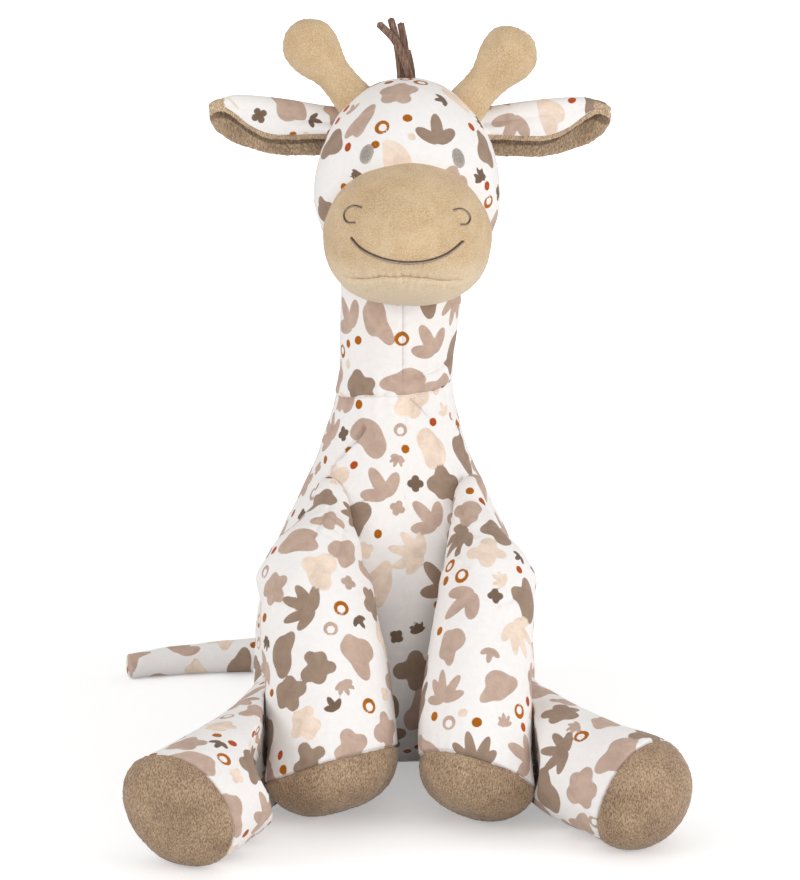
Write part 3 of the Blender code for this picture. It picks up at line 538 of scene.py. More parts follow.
# Rows of cloth: height, half width, half depth and the middle's place from front to back.
torso_rows = (
    (0.0005, 0.0680, 0.0540, 0.0020),
    (0.0060, 0.0820, 0.0670, 0.0020),
    (0.0180, 0.0895, 0.0790, -0.0005),
    (0.0360, 0.0928, 0.0860, -0.0040),
    (0.0680, 0.0915, 0.0855, -0.0050),
    (0.1020, 0.0862, 0.0822, -0.0050),
    (0.1360, 0.0752, 0.0746, -0.0045),
    (0.1605, 0.0635, 0.0645, -0.0030),
    (0.1733, 0.0575, 0.0592, -0.0020),
    (0.1867, 0.0506, 0.0540, -0.0015),
    (0.2000, 0.0464, 0.0495, -0.0008),
    (0.2132, 0.0428, 0.0452, -0.0003),
    (0.2264, 0.0400, 0.0420, 0.0000),
    (0.2350, 0.0385, 0.0402, 0.0000),
)
seat_rows = (
    (0.0040, 0.0200, 0.0200, 0.0000),
    (0.0040, 0.0400, 0.0400, 0.0000),
    (0.0040, 0.0545, 0.0540, 0.0000),
    (0.0034, 0.0562, 0.0558, 0.0000),
    (0.0012, 0.0580, 0.0570, 0.0000),
    (0.0005, 0.0620, 0.0590, 0.0000),
)
collar_rows = (
    (0.2366, 0.0380, 0.0396, 0.0000),
    (0.2374, 0.0370, 0.0385, 0.0000),
    (0.2360, 0.0350, 0.0360, 0.0000),
    (0.2330, 0.0200, 0.0200, 0.0000),
)
rows = [*seat_rows, *filled_in(torso_rows, 170), *collar_rows]
up, right = Vector((0, 0, 1)), Vector((1, 0, 0))
torso_lean = -0.0020
lean_height = 0.04
places = [
    ring_place(Vector((torso_lean * min(1, z / lean_height), y, z)), up, right, w, d)
    for z, w, d, y in rows
]
torso = as_object(stuffed_tube(places, 300), "torso_cover")
collar_height = 0.2366
collar_half_width, collar_half_depth = 0.0385, 0.0402
collar_tilt, collar_wave = 0.0045, 0.0010
collar_spread = 0.020


def sway_collar(points):
    """The seam round the neck sits lower on the giraffe's right and waves a little."""
    turn = np.arctan2(points[:, 1], points[:, 0])
    level = collar_tilt * points[:, 0] / collar_half_width + collar_wave * np.sin(3 * turn + 1)
    points[:, 2] += level * np.exp(-(((points[:, 2] - collar_height) / collar_spread) ** 2))
    return points


move_points(torso, sway_collar(points_of(torso)[0]))
swell(torso, 0.045, 0.0016, 3)


def skin_of(obj):
    """A piece's surface as it is now, for finding places on it."""
    points, _ = points_of(obj)
    faces = [tuple(face.vertices) for face in obj.data.polygons]
    return BVHTree.FromPolygons([tuple(p) for p in points], faces)


# Places on a piece are given as the camera sees them, in pixels of its 800 by 880 frame.
frame_middle = (400, 440)
focal_length = 2461


def seen_at(skin, across, down):
    """The place, and the way out, where the camera sees a spot of its frame."""
    sideways = (across - frame_middle[0]) / focal_length
    ray = Vector((sideways, (frame_middle[1] - down) / focal_length, -1))
    ray.rotate(camera.rotation_euler)
    return skin.ray_cast(camera.location, ray.normalized())[:2]


def path_on(skin, spots):
    """The places on a piece where the camera sees a row of spots."""
    return [seen_at(skin, *spot)[0] for spot in spots]


skin = skin_of(torso)
left_dart = path_on(skin, ((364, 428), (357, 440), (346, 452), (333, 466), (326, 478)))
sew(torso, left_dart, depth=0.0034, width=0.0016, pucker=0.0007, reach=0.008, lip=0.0030, line=0.85)
right_dart = path_on(skin, ((452, 416), (458, 430), (463, 445), (466, 462)))
sew(
    torso, right_dart, depth=0.0028, width=0.0016, pucker=0.0006, reach=0.008,
    lip=-0.0024, seed=2, line=0.7,
)
fold = path_on(skin, ((402, 391), (411, 399), (420, 407), (430, 417)))
sew(torso, fold, depth=0.0020, width=0.0014, pucker=0.0004, reach=0.006, lip=0.0018, seed=3, line=0.25)
front_seam = path_on(skin, [(405, down) for down in range(400, 740, 20)])
sew(torso, front_seam, depth=0.0008, width=0.0012, pucker=0.0003, reach=0.006, seed=3.5)
back_seam = [
    skin.ray_cast(Vector((0, 1, z)), Vector((0, -1, 0)))[0] for z in np.linspace(0.03, 0.233, 24)
]
sew(torso, back_seam, depth=0.0012, width=0.0014, pucker=0.0005, reach=0.008, seed=4, line=0.35)
collar = np.array([
    (collar_half_width * math.cos(a) + torso_lean, collar_half_depth * math.sin(a), collar_height)
    for a in np.linspace(0, math.tau, 49)
])
collar = [tuple(point) for point in sway_collar(collar)]
collar_seam = {"depth": 0.0002, "width": 0.001, "pucker": 0.0007, "reach": 0.009, "pitch": 0.0115}
collar_seam |= {"seed": 5, "line": 0.15, "closed": True}
sew(torso, collar, **collar_seam)
print_cloth(torso, 11)
torso.data.materials.append(printed_minky)
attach(torso, "torso")
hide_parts("torso")

# The seat is a round panel of the same minky, sewn in under the torso.
# A cotton bag of plastic pellets lies on it inside the torso and keeps the toy sitting.
# Rows of the panel, and then of the bag: height and radius.
panel_rows = [
    (0.0008, 0.0150),
    (0.0004, 0.0350),
    (0.0005, 0.0500),
    (0.0012, 0.0545),
    (0.0022, 0.0550),
    (0.0030, 0.0535),
    (0.0032, 0.0300),
]
places = [ring_place(Vector((0, 0, z)), up, right, r, r) for z, r in panel_rows]
panel = as_object(stuffed_tube(places, 120), "seat_panel_cover")
print_cloth(panel, 12)
panel.data.materials.append(printed_minky)
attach(panel, "torso")
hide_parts("seat_panel")

bag_rows = [
    (0.0043, 0.0200),
    (0.0046, 0.0330),
    (0.0085, 0.0400),
    (0.0150, 0.0410),
    (0.0220, 0.0360),
    (0.0280, 0.0220),
]
places = [ring_place(Vector((0, 0, z)), up, right, r, r) for z, r in filled_in(bag_rows, 26)]
bag = as_object(stuffed_tube(places, 64), "pellet_bag_cover")
swell(bag, 0.012, 0.0008, 6)
# Undyed cotton canvas is a plain weave, so it is matt, with pale yarns and grey gaps between them.
# The yarns are 0.9 mm apart, two to each band of the wave.
canvas, tree, shader, place = new_material("undyed cotton canvas")
weave = add(tree, "TexWave", {"Vector": place, "Scale": 180, "Distortion": 1.5})
yarns = {0: weave.outputs["Fac"], 6: linear("#D9D1C4"), 7: linear("#E8E2D8")}
tone = add(tree, "Mix", yarns, data_type="RGBA")
plug(tree, shader, {"Base Color": tone.outputs[2], "Roughness": 0.9})
bag.data.materials.append(canvas)
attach(bag, "torso")
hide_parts("pellet_bag")

# The neck is a stuffed tube of minky with a seam down its front, sewn into the top of the torso.
# Its foot lines up with the torso, and its upper part leans over towards the head.
neck_rows = (
    (0.2360, 0.0368, 0.0384, 0.0),
    (0.2390, 0.0379, 0.0394, 0.0),
    (0.2450, 0.0373, 0.0390, 0.0),
    (0.2530, 0.0367, 0.0384, 0.0),
    (0.2660, 0.0375, 0.0384, 0.0),
    (0.2800, 0.0380, 0.0384, 0.0),
    (0.2950, 0.0384, 0.0382, 0.0),
    (0.3050, 0.0378, 0.0378, 0.0),
    (0.3120, 0.0350, 0.0350, 0.0),
    (0.3200, 0.0290, 0.0290, 0.0),
    (0.3260, 0.0160, 0.0160, 0.0),
)
tucked_rows = ((0.2380, 0.0200, 0.0200, 0), (0.2362, 0.0350, 0.0360, 0))
neck_foot = 0.236
neck_shift, shift_height = 0.0046, 0.055
places = [
    ring_place(
        Vector((torso_lean + neck_shift * min(1, (z - neck_foot) / shift_height), y, z)), up, right, w, d
    )
    for z, w, d, y in (*tucked_rows, *filled_in(neck_rows, 84))
]
neck = as_object(stuffed_tube(places, 220), "neck_cover")
move_points(neck, sway_collar(points_of(neck)[0]))
swell(neck, 0.035, 0.0008, 7)
skin = skin_of(neck)
throat_seam = path_on(skin, [(403, down) for down in range(284, 388, 8)])
sew(
    neck, throat_seam, depth=0.0013, width=0.0012, pucker=0.0003, reach=0.006, pitch=0.006,
    seed=8, line=0.26,
)
crease = path_on(skin, ((448, 362), (438, 370), (425, 376), (410, 380)))
sew(neck, crease, depth=0.0020, width=0.0018, pucker=0.0003, reach=0.006, lip=0.0020, seed=8.5, line=0.12)
sew(neck, collar, **collar_seam)
print_cloth(neck, 13)
neck.data.materials.append(printed_minky)
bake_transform(neck)
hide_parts("neck")

# The head is an egg of minky sewn from side panels, stuffed hard.
# Its cloth dips where the tan muzzle panel is sewn on.
head_middle = np.array((0.0066, -0.0040, 0.3620))
head_half = np.array((0.0590, 0.0660, 0.0720))
head_jaw = 0.0610
muzzle_middle = head_middle + np.array((0, -0.0360, -0.0215))
muzzle_half = np.array((0.0526, 0.0620, 0.0506))
muzzle_chin = 0.0450
muzzle_powers = (1.86, 2.42)


def above_head(points):
    """How far points are outside the head, along the line from its middle."""
    step = points - head_middle
    size = np.where(step[:, 2] > 0, head_half[2], head_jaw)
    reach = np.sqrt(
        (step[:, 0] / head_half[0]) ** 2 + (step[:, 1] / head_half[1]) ** 2 + (step[:, 2] / size) ** 2
    )
    return np.linalg.norm(step, axis=1) * (1 - 1 / np.maximum(reach, 1e-6))


def above_muzzle(points):
    """How far points are outside the muzzle, along the line from its middle."""
    step = np.abs(points - muzzle_middle)
    size = np.where(points[:, 2] > muzzle_middle[2], muzzle_half[2], muzzle_chin)
    power = np.where(points[:, 2] > muzzle_middle[2], *muzzle_powers)
    outline = ((step[:, 0] / muzzle_half[0]) ** power + (step[:, 2] / size) ** power) ** (2 / power)
    reach = np.sqrt(outline + (step[:, 1] / muzzle_half[1]) ** 2)
    return np.linalg.norm(step, axis=1) * (1 - 1 / np.maximum(reach, 1e-6))


def calm_near(gap):
    """How much of the nap's unevenness stays: none within 1 mm of a rim, and all from 6 mm on."""
    return np.clip(gap / 0.005 - 0.2, 0, 1)


def draw_in(obj, gap, width, depth):
    """Draws the cloth in where it is sewn to the piece that it is gap away from."""
    points, outward = points_of(obj)
    dip = np.exp(-((gap / width) ** 2)) * depth
    move_points(obj, points - outward * dip[:, None])


bm = bmesh.new()
bmesh.ops.create_uvsphere(bm, u_segments=240, v_segments=150, radius=1)
head = as_object(bm, "head_cover")
points, _ = points_of(head)
points *= np.where((points[:, 2] > 0)[:, None], head_half, (head_half[0], head_half[1], head_jaw))
points += head_middle
move_points(head, points)
swell(head, 0.040, 0.0011, 10, calm_near(np.abs(above_muzzle(points))))
draw_in(head, above_muzzle(points_of(head)[0]), 0.0035, 0.0022)
print_cloth(head, 14)
head.data.materials.append(printed_minky)
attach(head, "head")
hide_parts("head")

# The muzzle is tan velboa, a short velvety pile, sewn on as a full rounded panel.
# A seam under the lip joins the chin panel to it, and the pile puckers over that seam.

# Velboa is a 2 mm polyester pile that lies one way. It is soft and matt, brighter where it is seen
# edge on, and a little blotched where it has been stroked, in patches of about 18 mm, 55 to the
# metre. Its tufts are 0.4 mm apart, drawn at 0.8 mm to show: 1250 to the metre.
tan_velboa, tree, shader, place = new_material("tan velboa")
strokes = {"Vector": place, "Scale": 55, "Detail": 4, "Roughness": 0.55, "Distortion": 0.6}
stroked = add(tree, "TexNoise", strokes).outputs["Fac"]
tufts = {"Vector": place, "Scale": 1250, "Detail": 2, "Roughness": 0.6}
grain = add(tree, "TexNoise", tufts).outputs["Fac"]
patchy = {"Value": stroked, "From Min": 0.35, "From Max": 0.68}
blotch = add(tree, "MapRange", patchy)
tans = {0: blotch.outputs[0], 6: linear("#BA976A"), 7: linear("#CEB188")}
tone = add(tree, "Mix", tans, data_type="RGBA")
height = add(tree, "SeparateXYZ", {0: place}).outputs["Z"]
# Painted light: the chin is drawn paler towards its bottom, for the light that the white floor throws up
# under the lip.
painted_floor_light = {"Value": height, "From Min": 0.332, "From Max": 0.316, "To Min": 0.0, "To Max": 0.50}
chin = add(tree, "MapRange", painted_floor_light)
ends = {"Value": grain, "From Min": 0.34, "From Max": 0.66, "To Min": 0.0, "To Max": 0.62}
tips = add(tree, "MapRange", ends)
paler = add(tree, "Math", {0: tips.outputs[0], 1: chin.outputs[0]}, operation="ADD")
tipped = {0: paler.outputs[0], 6: tone.outputs[2], 7: linear("#E6D3B6")}
colour = add(tree, "Mix", tipped, data_type="RGBA").outputs[2]
pile = add(tree, "Bump", {"Strength": 0.8, "Distance": 0.0007, "Height": grain})
# The seams get painted shade in #8A6C48.
plug(tree, shader, {
    "Base Color": with_painted_seam_shade(tree, colour, "#8A6C48"),
    "Normal": pile.outputs["Normal"],
    "Roughness": 0.95,
    "Specular IOR Level": 0.1,
    "Sheen Weight": 0.3,
    "Sheen Roughness": 0.4,
})

muzzle_overlap = 0.009
throat_radius = 0.0425
throat_top = 0.340
bm = bmesh.new()
bmesh.ops.create_uvsphere(bm, u_segments=260, v_segments=150, radius=1)
bmesh.ops.rotate(bm, verts=bm.verts, matrix=Matrix.Rotation(math.pi / 2, 3, "X"))
muzzle = as_object(bm, "muzzle_cover")
points, _ = points_of(muzzle)
flat = np.hypot(points[:, 0], points[:, 2])
power = np.where(points[:, 2] > 0, *muzzle_powers)
square = (np.abs(points[:, 0]) ** power + np.abs(points[:, 2]) ** power) ** (1 / power)
full = np.where(flat > 1e-6, flat / np.maximum(square, 1e-9), 1)
points[:, 0] *= full * muzzle_half[0]
points[:, 1] *= muzzle_half[1]
points[:, 2] *= full * np.where(points[:, 2] > 0, muzzle_half[2], muzzle_chin)
points += muzzle_middle
# Its back follows the head just inside the cloth, and the throat below.
step = points - head_middle
size = np.where(step[:, 2] > 0, head_half[2], head_jaw)
inside = np.sqrt(np.maximum(0, 1 - (step[:, 0] / head_half[0]) ** 2 - (step[:, 2] / size) ** 2))
backing = head_middle[1] - head_half[1] * inside + muzzle_overlap
throat = -np.sqrt(np.maximum(0, throat_radius**2 - points[:, 0] ** 2))
backing = np.where(points[:, 2] < throat_top, np.minimum(backing, throat), backing)
points[:, 1] = np.minimum(points[:, 1], backing)
move_points(muzzle, points)
swell(muzzle, 0.034, 0.0011, 15, calm_near(above_head(points)))
draw_in(muzzle, above_head(points_of(muzzle)[0]), 0.0040, 0.0012)
lip = ((346, 279), (360, 280.5), (382, 278), (405, 278), (428, 280), (446, 282.5), (459, 281.5))
lip_seam = path_on(skin_of(muzzle), lip)
sew(
    muzzle, lip_seam, depth=0.0022, width=0.0015, pucker=0.0009, reach=0.005, pitch=0.0045,
    seed=16, line=0.6,
)
roughen(muzzle, (0.0016, 0.00016, 17), share=calm_near(above_head(points_of(muzzle)[0])))
muzzle.data.materials.append(tan_velboa)
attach(muzzle, "head")
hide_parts("muzzle", "chin")

# The face is machine embroidery in grey polyester thread: two satin ovals for eyes and satin lines.
# Each satin line is a row of slanting stitches side by side over a thin padding.


def embroidery(name, top, low):
    """Polyester thread, with painted glints in flecks and a painted shade on its upper edge, where it sits
    in the pile.
    """
    thread, tree, shader, place = new_material(name)
    # The painted glints on the stitches are 0.2 mm wide, drawn at 0.7 mm to show: 1500 to the metre.
    grain = add(tree, "TexNoise", {"Vector": place, "Scale": 1500, "Detail": 2}).outputs["Fac"]
    glints = {"Value": grain, "From Min": 0.34, "From Max": 0.66, "To Min": 0.2, "To Max": 0.8}
    painted_glint = add(tree, "MapRange", glints)
    # Painted shade: the thread takes its first, darker colour where it faces up.
    facing = add(tree, "SeparateXYZ", {0: place.node.outputs["Normal"]}).outputs["Z"]
    upper = add(tree, "MapRange", {"Value": facing, "From Min": -0.15, "From Max": 0.35})
    painted_shade_greys = {0: upper.outputs[0], 6: linear(low), 7: linear(top)}
    tone = add(tree, "Mix", painted_shade_greys, data_type="RGBA")
    flecks = {0: 0.5, 6: tone.outputs[2], 7: painted_glint.outputs[0]}
    flecked = add(tree, "Mix", flecks, data_type="RGBA", blend_type="OVERLAY")
    colour = flecked.outputs[2]
    plug(tree, shader, {"Base Color": colour, "Roughness": 0.5, "Specular IOR Level": 0.25})
    return thread


# Each thread's first colour is its upper edge in painted shade, and the second its lit lower side.
line_thread = embroidery("dark grey embroidery thread", "#54443B", "#A59281")
eye_thread = embroidery("light grey embroidery thread", "#A29A93", "#BFB7AF")
skin = skin_of(muzzle)
stitch_pitch = 0.0009
stitch_slant = 0.35
stitch_rib = 0.16
# A line starts and ends at this share of its width, and is full this many rings on.
line_end, line_end_rings = 0.35, 6


def satin_line(name, marks, width, height):
    """Lays slanting satin stitches along marks on the muzzle, as a ribbed and domed cord."""
    marks = [(i / (len(marks) - 1), *mark) for i, mark in enumerate(marks)]
    found = [seen_at(skin, *mark) for _, *mark in filled_in(marks, 240)]
    spots = [point for point, _ in found]
    outs = [out for _, out in found]
    length = 0.0
    places = []
    for i in range(1, len(spots) - 1):
        length += (spots[i] - spots[i - 1]).length
        rib = 1 + stitch_rib * math.cos(length * math.tau / stitch_pitch)
        ends = min(1, line_end + min(i, len(spots) - 1 - i) / line_end_rings)
        along = spots[i + 1] - spots[i - 1]
        aside = outs[i].cross(along)
        slanted = along.normalized() + stitch_slant * aside.normalized()
        centre = spots[i] + outs[i] * height * 0.15
        places.append(ring_place(centre, slanted, aside, width / 2 * ends, height * rib * ends))
    line = as_object(stuffed_tube(places, 14), name)
    line.data.materials.append(line_thread)
    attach(line, "head")
    return line


smile_marks = (
    (350.5, 237.5), (362, 249.5), (382, 258.8), (405.5, 262.8), (428.5, 261), (448, 253.6), (464.3, 240.5)
)
smile = satin_line("smile_stitching", smile_marks, 0.0024, 0.0010)
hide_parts("smile")
right_marks = ((362, 208), (354, 206), (347, 209.5), (344, 216), (347.5, 222.5), (355.5, 222.8))
left_marks = ((453, 210.5), (460.5, 209), (467, 212.5), (470, 218.5), (467, 224.2), (460, 224.8))
for name, marks in (("right_nostril", right_marks), ("left_nostril", left_marks)):
    nostril = satin_line(f"{name}_stitching", marks, 0.0015, 0.0008)
    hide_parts(name)

skin = skin_of(head)
eye_half_height, eye_half_width, eye_rise = 0.0063, 0.0046, 0.0016
eye_stitches = 9
eye_rib, eye_sunk = 0.22, 0.0004
for name, middle, lean in (("right_eye", (366.5, 154.0), 16), ("left_eye", (458.5, 158.0), -12)):
    spot, out = seen_at(skin, *middle)
    upright = Matrix.Rotation(math.radians(lean), 3, "Y") @ up
    upright = (upright - out * upright.dot(out)).normalized()
    across = upright.cross(out)
    places = []
    for i in range(121):
        share = 2 * i / 120 - 1
        half = math.sqrt(max(0.0004, 1 - share * share))
        rib = 1 + eye_rib * math.cos(share * math.tau * eye_stitches)
        centre = spot + upright * share * eye_half_height - out * eye_sunk
        places.append(ring_place(centre, upright, across, eye_half_width * half, eye_rise * half * rib))
    eye = as_object(stuffed_tube(places, 28), f"{name}_stitching")
    eye.data.materials.append(eye_thread)
    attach(eye, "head")
    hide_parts(name)

# The two horns are mitten shaped knobs of tan velboa, each of two panels, stuffed and sewn on.
# The seam between the panels runs round their outline.
# Rows from inside the head out: place along the horn and radius.
horn_rows = (
    (-0.0120, 0.0145),
    (0.0000, 0.0135),
    (0.0100, 0.0122),
    (0.0190, 0.0114),
    (0.0260, 0.0116),
    (0.0320, 0.0130),
    (0.0375, 0.0149),
    (0.0430, 0.0164),
    (0.0490, 0.0168),
    (0.0550, 0.0159),
    (0.0600, 0.0127),
    (0.0634, 0.0088),
    (0.0652, 0.0050),
    (0.0658, 0.0020),
)
horn_run = 0.0778
horn_flatness = 0.86
# The rings crowd towards the tip, where the knob rounds off.
horn_crowding = 1.35
bulb_at = 0.0490
# Each horn's name, where it leaves the head, its bulb's middle and how full it is.
horn_ends = (
    ("right_horn", Vector((-0.0232, 0, 0.4155)), Vector((-0.0545, 0, 0.4533)), 1.02),
    ("left_horn", Vector((0.0436, 0, 0.4155)), Vector((0.0708, 0, 0.4486)), 1.08),
)
for name, root, bulb, fullness in horn_ends:
    side = -1 if name == "right_horn" else 1
    lengths = horn_rows[-1][0] - horn_run * np.linspace(1, 0, 120) ** horn_crowding
    radii = eased(horn_rows, lengths)[:, 0] * fullness
    along = (bulb - root).normalized()
    across = Vector((along.z, 0, -along.x))
    foot = bulb - along * bulb_at
    places = []
    outline = []
    other = []
    for length, radius in zip(lengths, radii):
        middle = foot + along * length
        places.append(ring_place(middle, along, across, radius, radius * horn_flatness))
        outline.append(middle + across * radius)
        other.append(middle - across * radius)
    horn = as_object(stuffed_tube(places, 120), f"{name}_cover")
    around = outline + other[::-1]
    sew(
        horn, around, depth=0.0007, width=0.0011, pucker=0.0002, reach=0.004, pitch=0.005,
        seed=20 + side, line=0.25,
    )
    roughen(horn, (0.014, 0.0007, 22 + side), (0.0015, 0.00015, 24))
    horn.data.materials.append(tan_velboa)
    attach(horn, "head")
    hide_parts(name)

# The tuft is four strips of dark brown suede cloth, caught together in the crown seam.
# They splay and cross as they rise.

# Suede cloth is a brushed microfibre: no shine, with dark and pale streaks along the strip where
# it was cut and handled. The streaks are 1 mm wide and 7 mm long: 900 to the metre, drawn out.
suede, tree, shader, place = new_material("dark brown suede cloth")
drawn = add(tree, "Mapping", {"Vector": place, "Scale": (1.0, 1.0, 0.16)}).outputs[0]
scuffs = {"Vector": drawn, "Scale": 900, "Detail": 4, "Roughness": 0.65}
scuff = add(tree, "TexNoise", scuffs).outputs["Fac"]
brushing = {"Value": scuff, "From Min": 0.34, "From Max": 0.66}
streak = add(tree, "MapRange", brushing)
browns = {0: streak.outputs[0], 6: linear("#402A21"), 7: linear("#977763")}
tone = add(tree, "Mix", browns, data_type="RGBA")
rough = add(tree, "Bump", {"Strength": 0.7, "Distance": 0.0006, "Height": scuff})
plug(tree, shader, {
    "Base Color": tone.outputs[2],
    "Normal": rough.outputs["Normal"],
    "Roughness": 0.9,
    "Sheen Weight": 0.2,
})
strip_half_width, strip_half_thickness = 0.0024, 0.0009
# How far each strip twists on its way, in radians, and its marks from the seam to its tip.
strips = (
    (0.3, (
        (0.0098, -0.0045, 0.4280),
        (0.0062, -0.0052, 0.4400),
        (-0.0010, -0.0058, 0.4565),
        (-0.0130, -0.0050, 0.4690),
    )),
    (-0.5, (
        (0.0028, -0.0020, 0.4280),
        (0.0018, -0.0022, 0.4420),
        (-0.0005, -0.0028, 0.4580),
        (-0.0044, -0.0030, 0.4722),
    )),
    (0.6, (
        (0.0075, 0.0000, 0.4280),
        (0.0062, 0.0002, 0.4430),
        (0.0044, 0.0000, 0.4570),
        (0.0020, -0.0004, 0.4690),
    )),
    (-0.2, (
        (0.0098, 0.0025, 0.4280),
        (0.0092, 0.0024, 0.4370),
        (0.0080, 0.0020, 0.4440),
        (0.0062, 0.0012, 0.4515),
    )),
)
for number, (twist, marks) in enumerate(strips, 1):
    knots = [(i / 3, *mark) for i, mark in enumerate(marks)]
    run = [Vector(mark) for _, *mark in filled_in(knots, 40)]
    places = []
    for i in range(1, 39):
        turn = twist * (i / 39 - 0.3)
        across = Vector((math.cos(turn), math.sin(turn), 0))
        along = run[i + 1] - run[i - 1]
        places.append(ring_place(run[i], along, across, strip_half_width, strip_half_thickness))
    strip = as_object(stuffed_tube(places, 16), f"tuft_strand_{number}_strip")
    strip.data.materials.append(suede)
    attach(strip, "head")
    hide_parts(f"tuft_strand_{number}")

# Each ear is a leaf of minky lined with brown plush, folded over along its top edge and sewn on.
# The lining stands out past the minky as a soft rim, and shows under the front flap.


def plush(name, roots, tips):
    """Plush is a 3 mm polyester pile in small tufts: pale tips, dark roots and a soft sheen."""
    cloth, tree, shader, place = new_material(name)
    # The tufts are 0.7 mm thick, 1450 to the metre, and lean one way, so they look drawn out.
    # Hands leave patches about 24 mm across where the pile lies otherwise: 42 to the metre.
    combed = add(tree, "Mapping", {"Vector": place, "Rotation": (0.5, 0.3, 0.4), "Scale": (1.0, 0.8, 0.42)})
    clumps = {"Vector": combed.outputs[0], "Scale": 1450, "Detail": 2, "Roughness": 0.55, "Distortion": 0.3}
    tufts = add(tree, "TexNoise", clumps).outputs["Fac"]
    patches = add(tree, "TexNoise", {"Vector": place, "Scale": 42, "Detail": 3, "Roughness": 0.55})
    clear = {"From Min": 0.36, "From Max": 0.64}
    brushed = add(tree, "MapRange", {"Value": patches.outputs["Fac"], **clear}).outputs[0]
    tip = add(tree, "MapRange", {"Value": tufts, **clear}).outputs[0]
    low = add(tree, "Mix", {0: brushed, 6: linear(roots[0]), 7: linear(roots[1])}, data_type="RGBA")
    high = add(tree, "Mix", {0: brushed, 6: linear(tips[0]), 7: linear(tips[1])}, data_type="RGBA")
    browns = {0: tip, 6: low.outputs[2], 7: high.outputs[2]}
    colour = add(tree, "Mix", browns, data_type="RGBA").outputs[2]
    pile = add(tree, "Bump", {"Strength": 0.6, "Distance": 0.0008, "Height": tufts})
    # The seams get painted shade in #3F2F25.
    plug(tree, shader, {
        "Base Color": with_painted_seam_shade(tree, colour, "#3F2F25"),
        "Normal": pile.outputs["Normal"],
        "Roughness": 0.95,
        "Specular IOR Level": 0.1,
        "Sheen Weight": 0.3,
        "Sheen Roughness": 0.35,
    })
    return cloth


brown_plush = plush("brown plush", ("#7A624E", "#8B725C"), ("#AB9178", "#C4AA8C"))
# The ear's lining is the same brown plush in a lit copy: its colours are raised, painted light that makes
# up for the shade under the flap.
painted_lit_plush = plush("brown plush with painted light", ("#8E7660", "#A38A71"), ("#C3A98E", "#DEC5A6"))
# From the ear's root, at 0, to its tip, at 1: how far its back and its flap hang down, how high
# its folded edge is, and the radius of the fold.
ear_back = (
    (0, 0.0235), (0.20, 0.0270), (0.35, 0.0300), (0.48, 0.0320), (0.67, 0.0312),
    (0.80, 0.0280), (0.91, 0.0218), (0.97, 0.0140), (1.0, 0.0052),
)
ear_flap = (
    (0, 0.0142), (0.24, 0.0155), (0.45, 0.0196), (0.59, 0.0207),
    (0.73, 0.0164), (0.83, 0.0097), (0.92, 0.0051), (1.0, 0.0040),
)
ear_top = (
    (0, 0.4113), (0.2, 0.4134), (0.5, 0.4178), (0.8, 0.4203), (0.93, 0.4200), (0.97, 0.4187), (1.0, 0.4165)
)
ear_fold = ((0, 0.0078), (0.4, 0.0080), (0.7, 0.0066), (0.9, 0.0048), (1.0, 0.0035))
ear_root, ear_tip = 0.0330, 0.1246
ear_middle = 0.0060
left_spare_length = 0.0035
left_droop = 0.0018
tip_curl = 0.010
fold_share = 0.30
# At its root each layer bulges 3.5 mm halfway down, and the flap's hem stands 3 mm forward and the
# back's 1 mm back.
layer_bulge, flap_forward, back_behind = 0.0035, 0.0030, 0.0010
end_narrowing = 0.0034
# The shares of the ear's length from which its tip curls forward, and from which a layer that
# ends short narrows and tapers off.
curl_from, narrow_from, taper_from = 0.78, 0.84, 0.80
taper_most = 0.96


def curl_at(share):
    """How far the ear's tip curls forward."""
    return tip_curl * np.clip((share - curl_from) / (1 - curl_from), 0, 1) ** 2


def ear_layer(name, side, shift, spare, thick, short):
    """One layer of the folded leaf, as a sheet with its own thickness."""
    bm = bmesh.new()
    bmesh.ops.create_grid(bm, x_segments=84, y_segments=76, size=0.5)
    obj = as_object(bm, name)
    points, _ = points_of(obj)
    # The grid's first side runs from root to tip, and its second round the leaf from back to flap.
    share, turn = (points[:, 0] + 0.5) * (1 - short), points[:, 1] * 2
    behind = turn < 0
    before = turn > 0
    back = eased(ear_back, share)[:, 0] + spare
    flap = eased(ear_flap, share)[:, 0] + spare
    top = eased(ear_top, share)[:, 0] - (left_droop * share if side > 0 else 0)
    fold = eased(ear_fold, share)[:, 0]
    bend = np.clip(turn / fold_share, -1, 1) * math.pi / 2
    # A layer that ends short is drawn in to nothing under the rim of the other.
    ending = np.clip((share - narrow_from + short) / (1 - narrow_from), 0, 1) if short else 0
    late = np.clip((share - taper_from + short) / (1 - taper_from), 0, 1)
    taper = np.sqrt(1 - taper_most * late * late) if short else 1
    reach = fold + shift - end_narrowing * ending**3
    y = reach * np.sin(-bend)
    z = top - fold + reach * np.cos(bend)
    drop = np.clip((np.abs(turn) - fold_share) / (1 - fold_share), 0, 1) * taper
    z -= drop * np.where(behind, back - fold, np.maximum(flap - fold, 0.0004))
    y += np.where(before, -1, 1) * layer_bulge * np.sin(np.pi * np.clip(drop, 0, 1)) * (1 - share)
    y -= np.where(before, flap_forward, -back_behind) * drop * (1 - share)
    x = ear_root + share * (ear_tip - ear_root + (left_spare_length if side > 0 else 0))
    y -= curl_at(share)
    points = np.column_stack((side * x, ear_middle + y, z))
    points[:, 0] += head_middle[0]
    move_points(obj, points)
    wall = obj.modifiers.new("Cloth", "SOLIDIFY")
    wall.thickness = thick
    wall.offset = 0
    round_edge = obj.modifiers.new("Round edge", "SUBSURF")
    round_edge.levels = 1
    round_edge.render_levels = 1
    bpy.context.view_layer.update()
    finished = obj.evaluated_get(bpy.context.evaluated_depsgraph_get())
    solid = bpy.data.meshes.new_from_object(finished)
    obj.modifiers.clear()
    obj.data = solid
    bm = bmesh.new()
    bm.from_mesh(solid)
    bmesh.ops.recalc_face_normals(bm, faces=bm.faces)
    bm.to_mesh(solid)
    bm.free()
    solid.shade_smooth()
    return obj
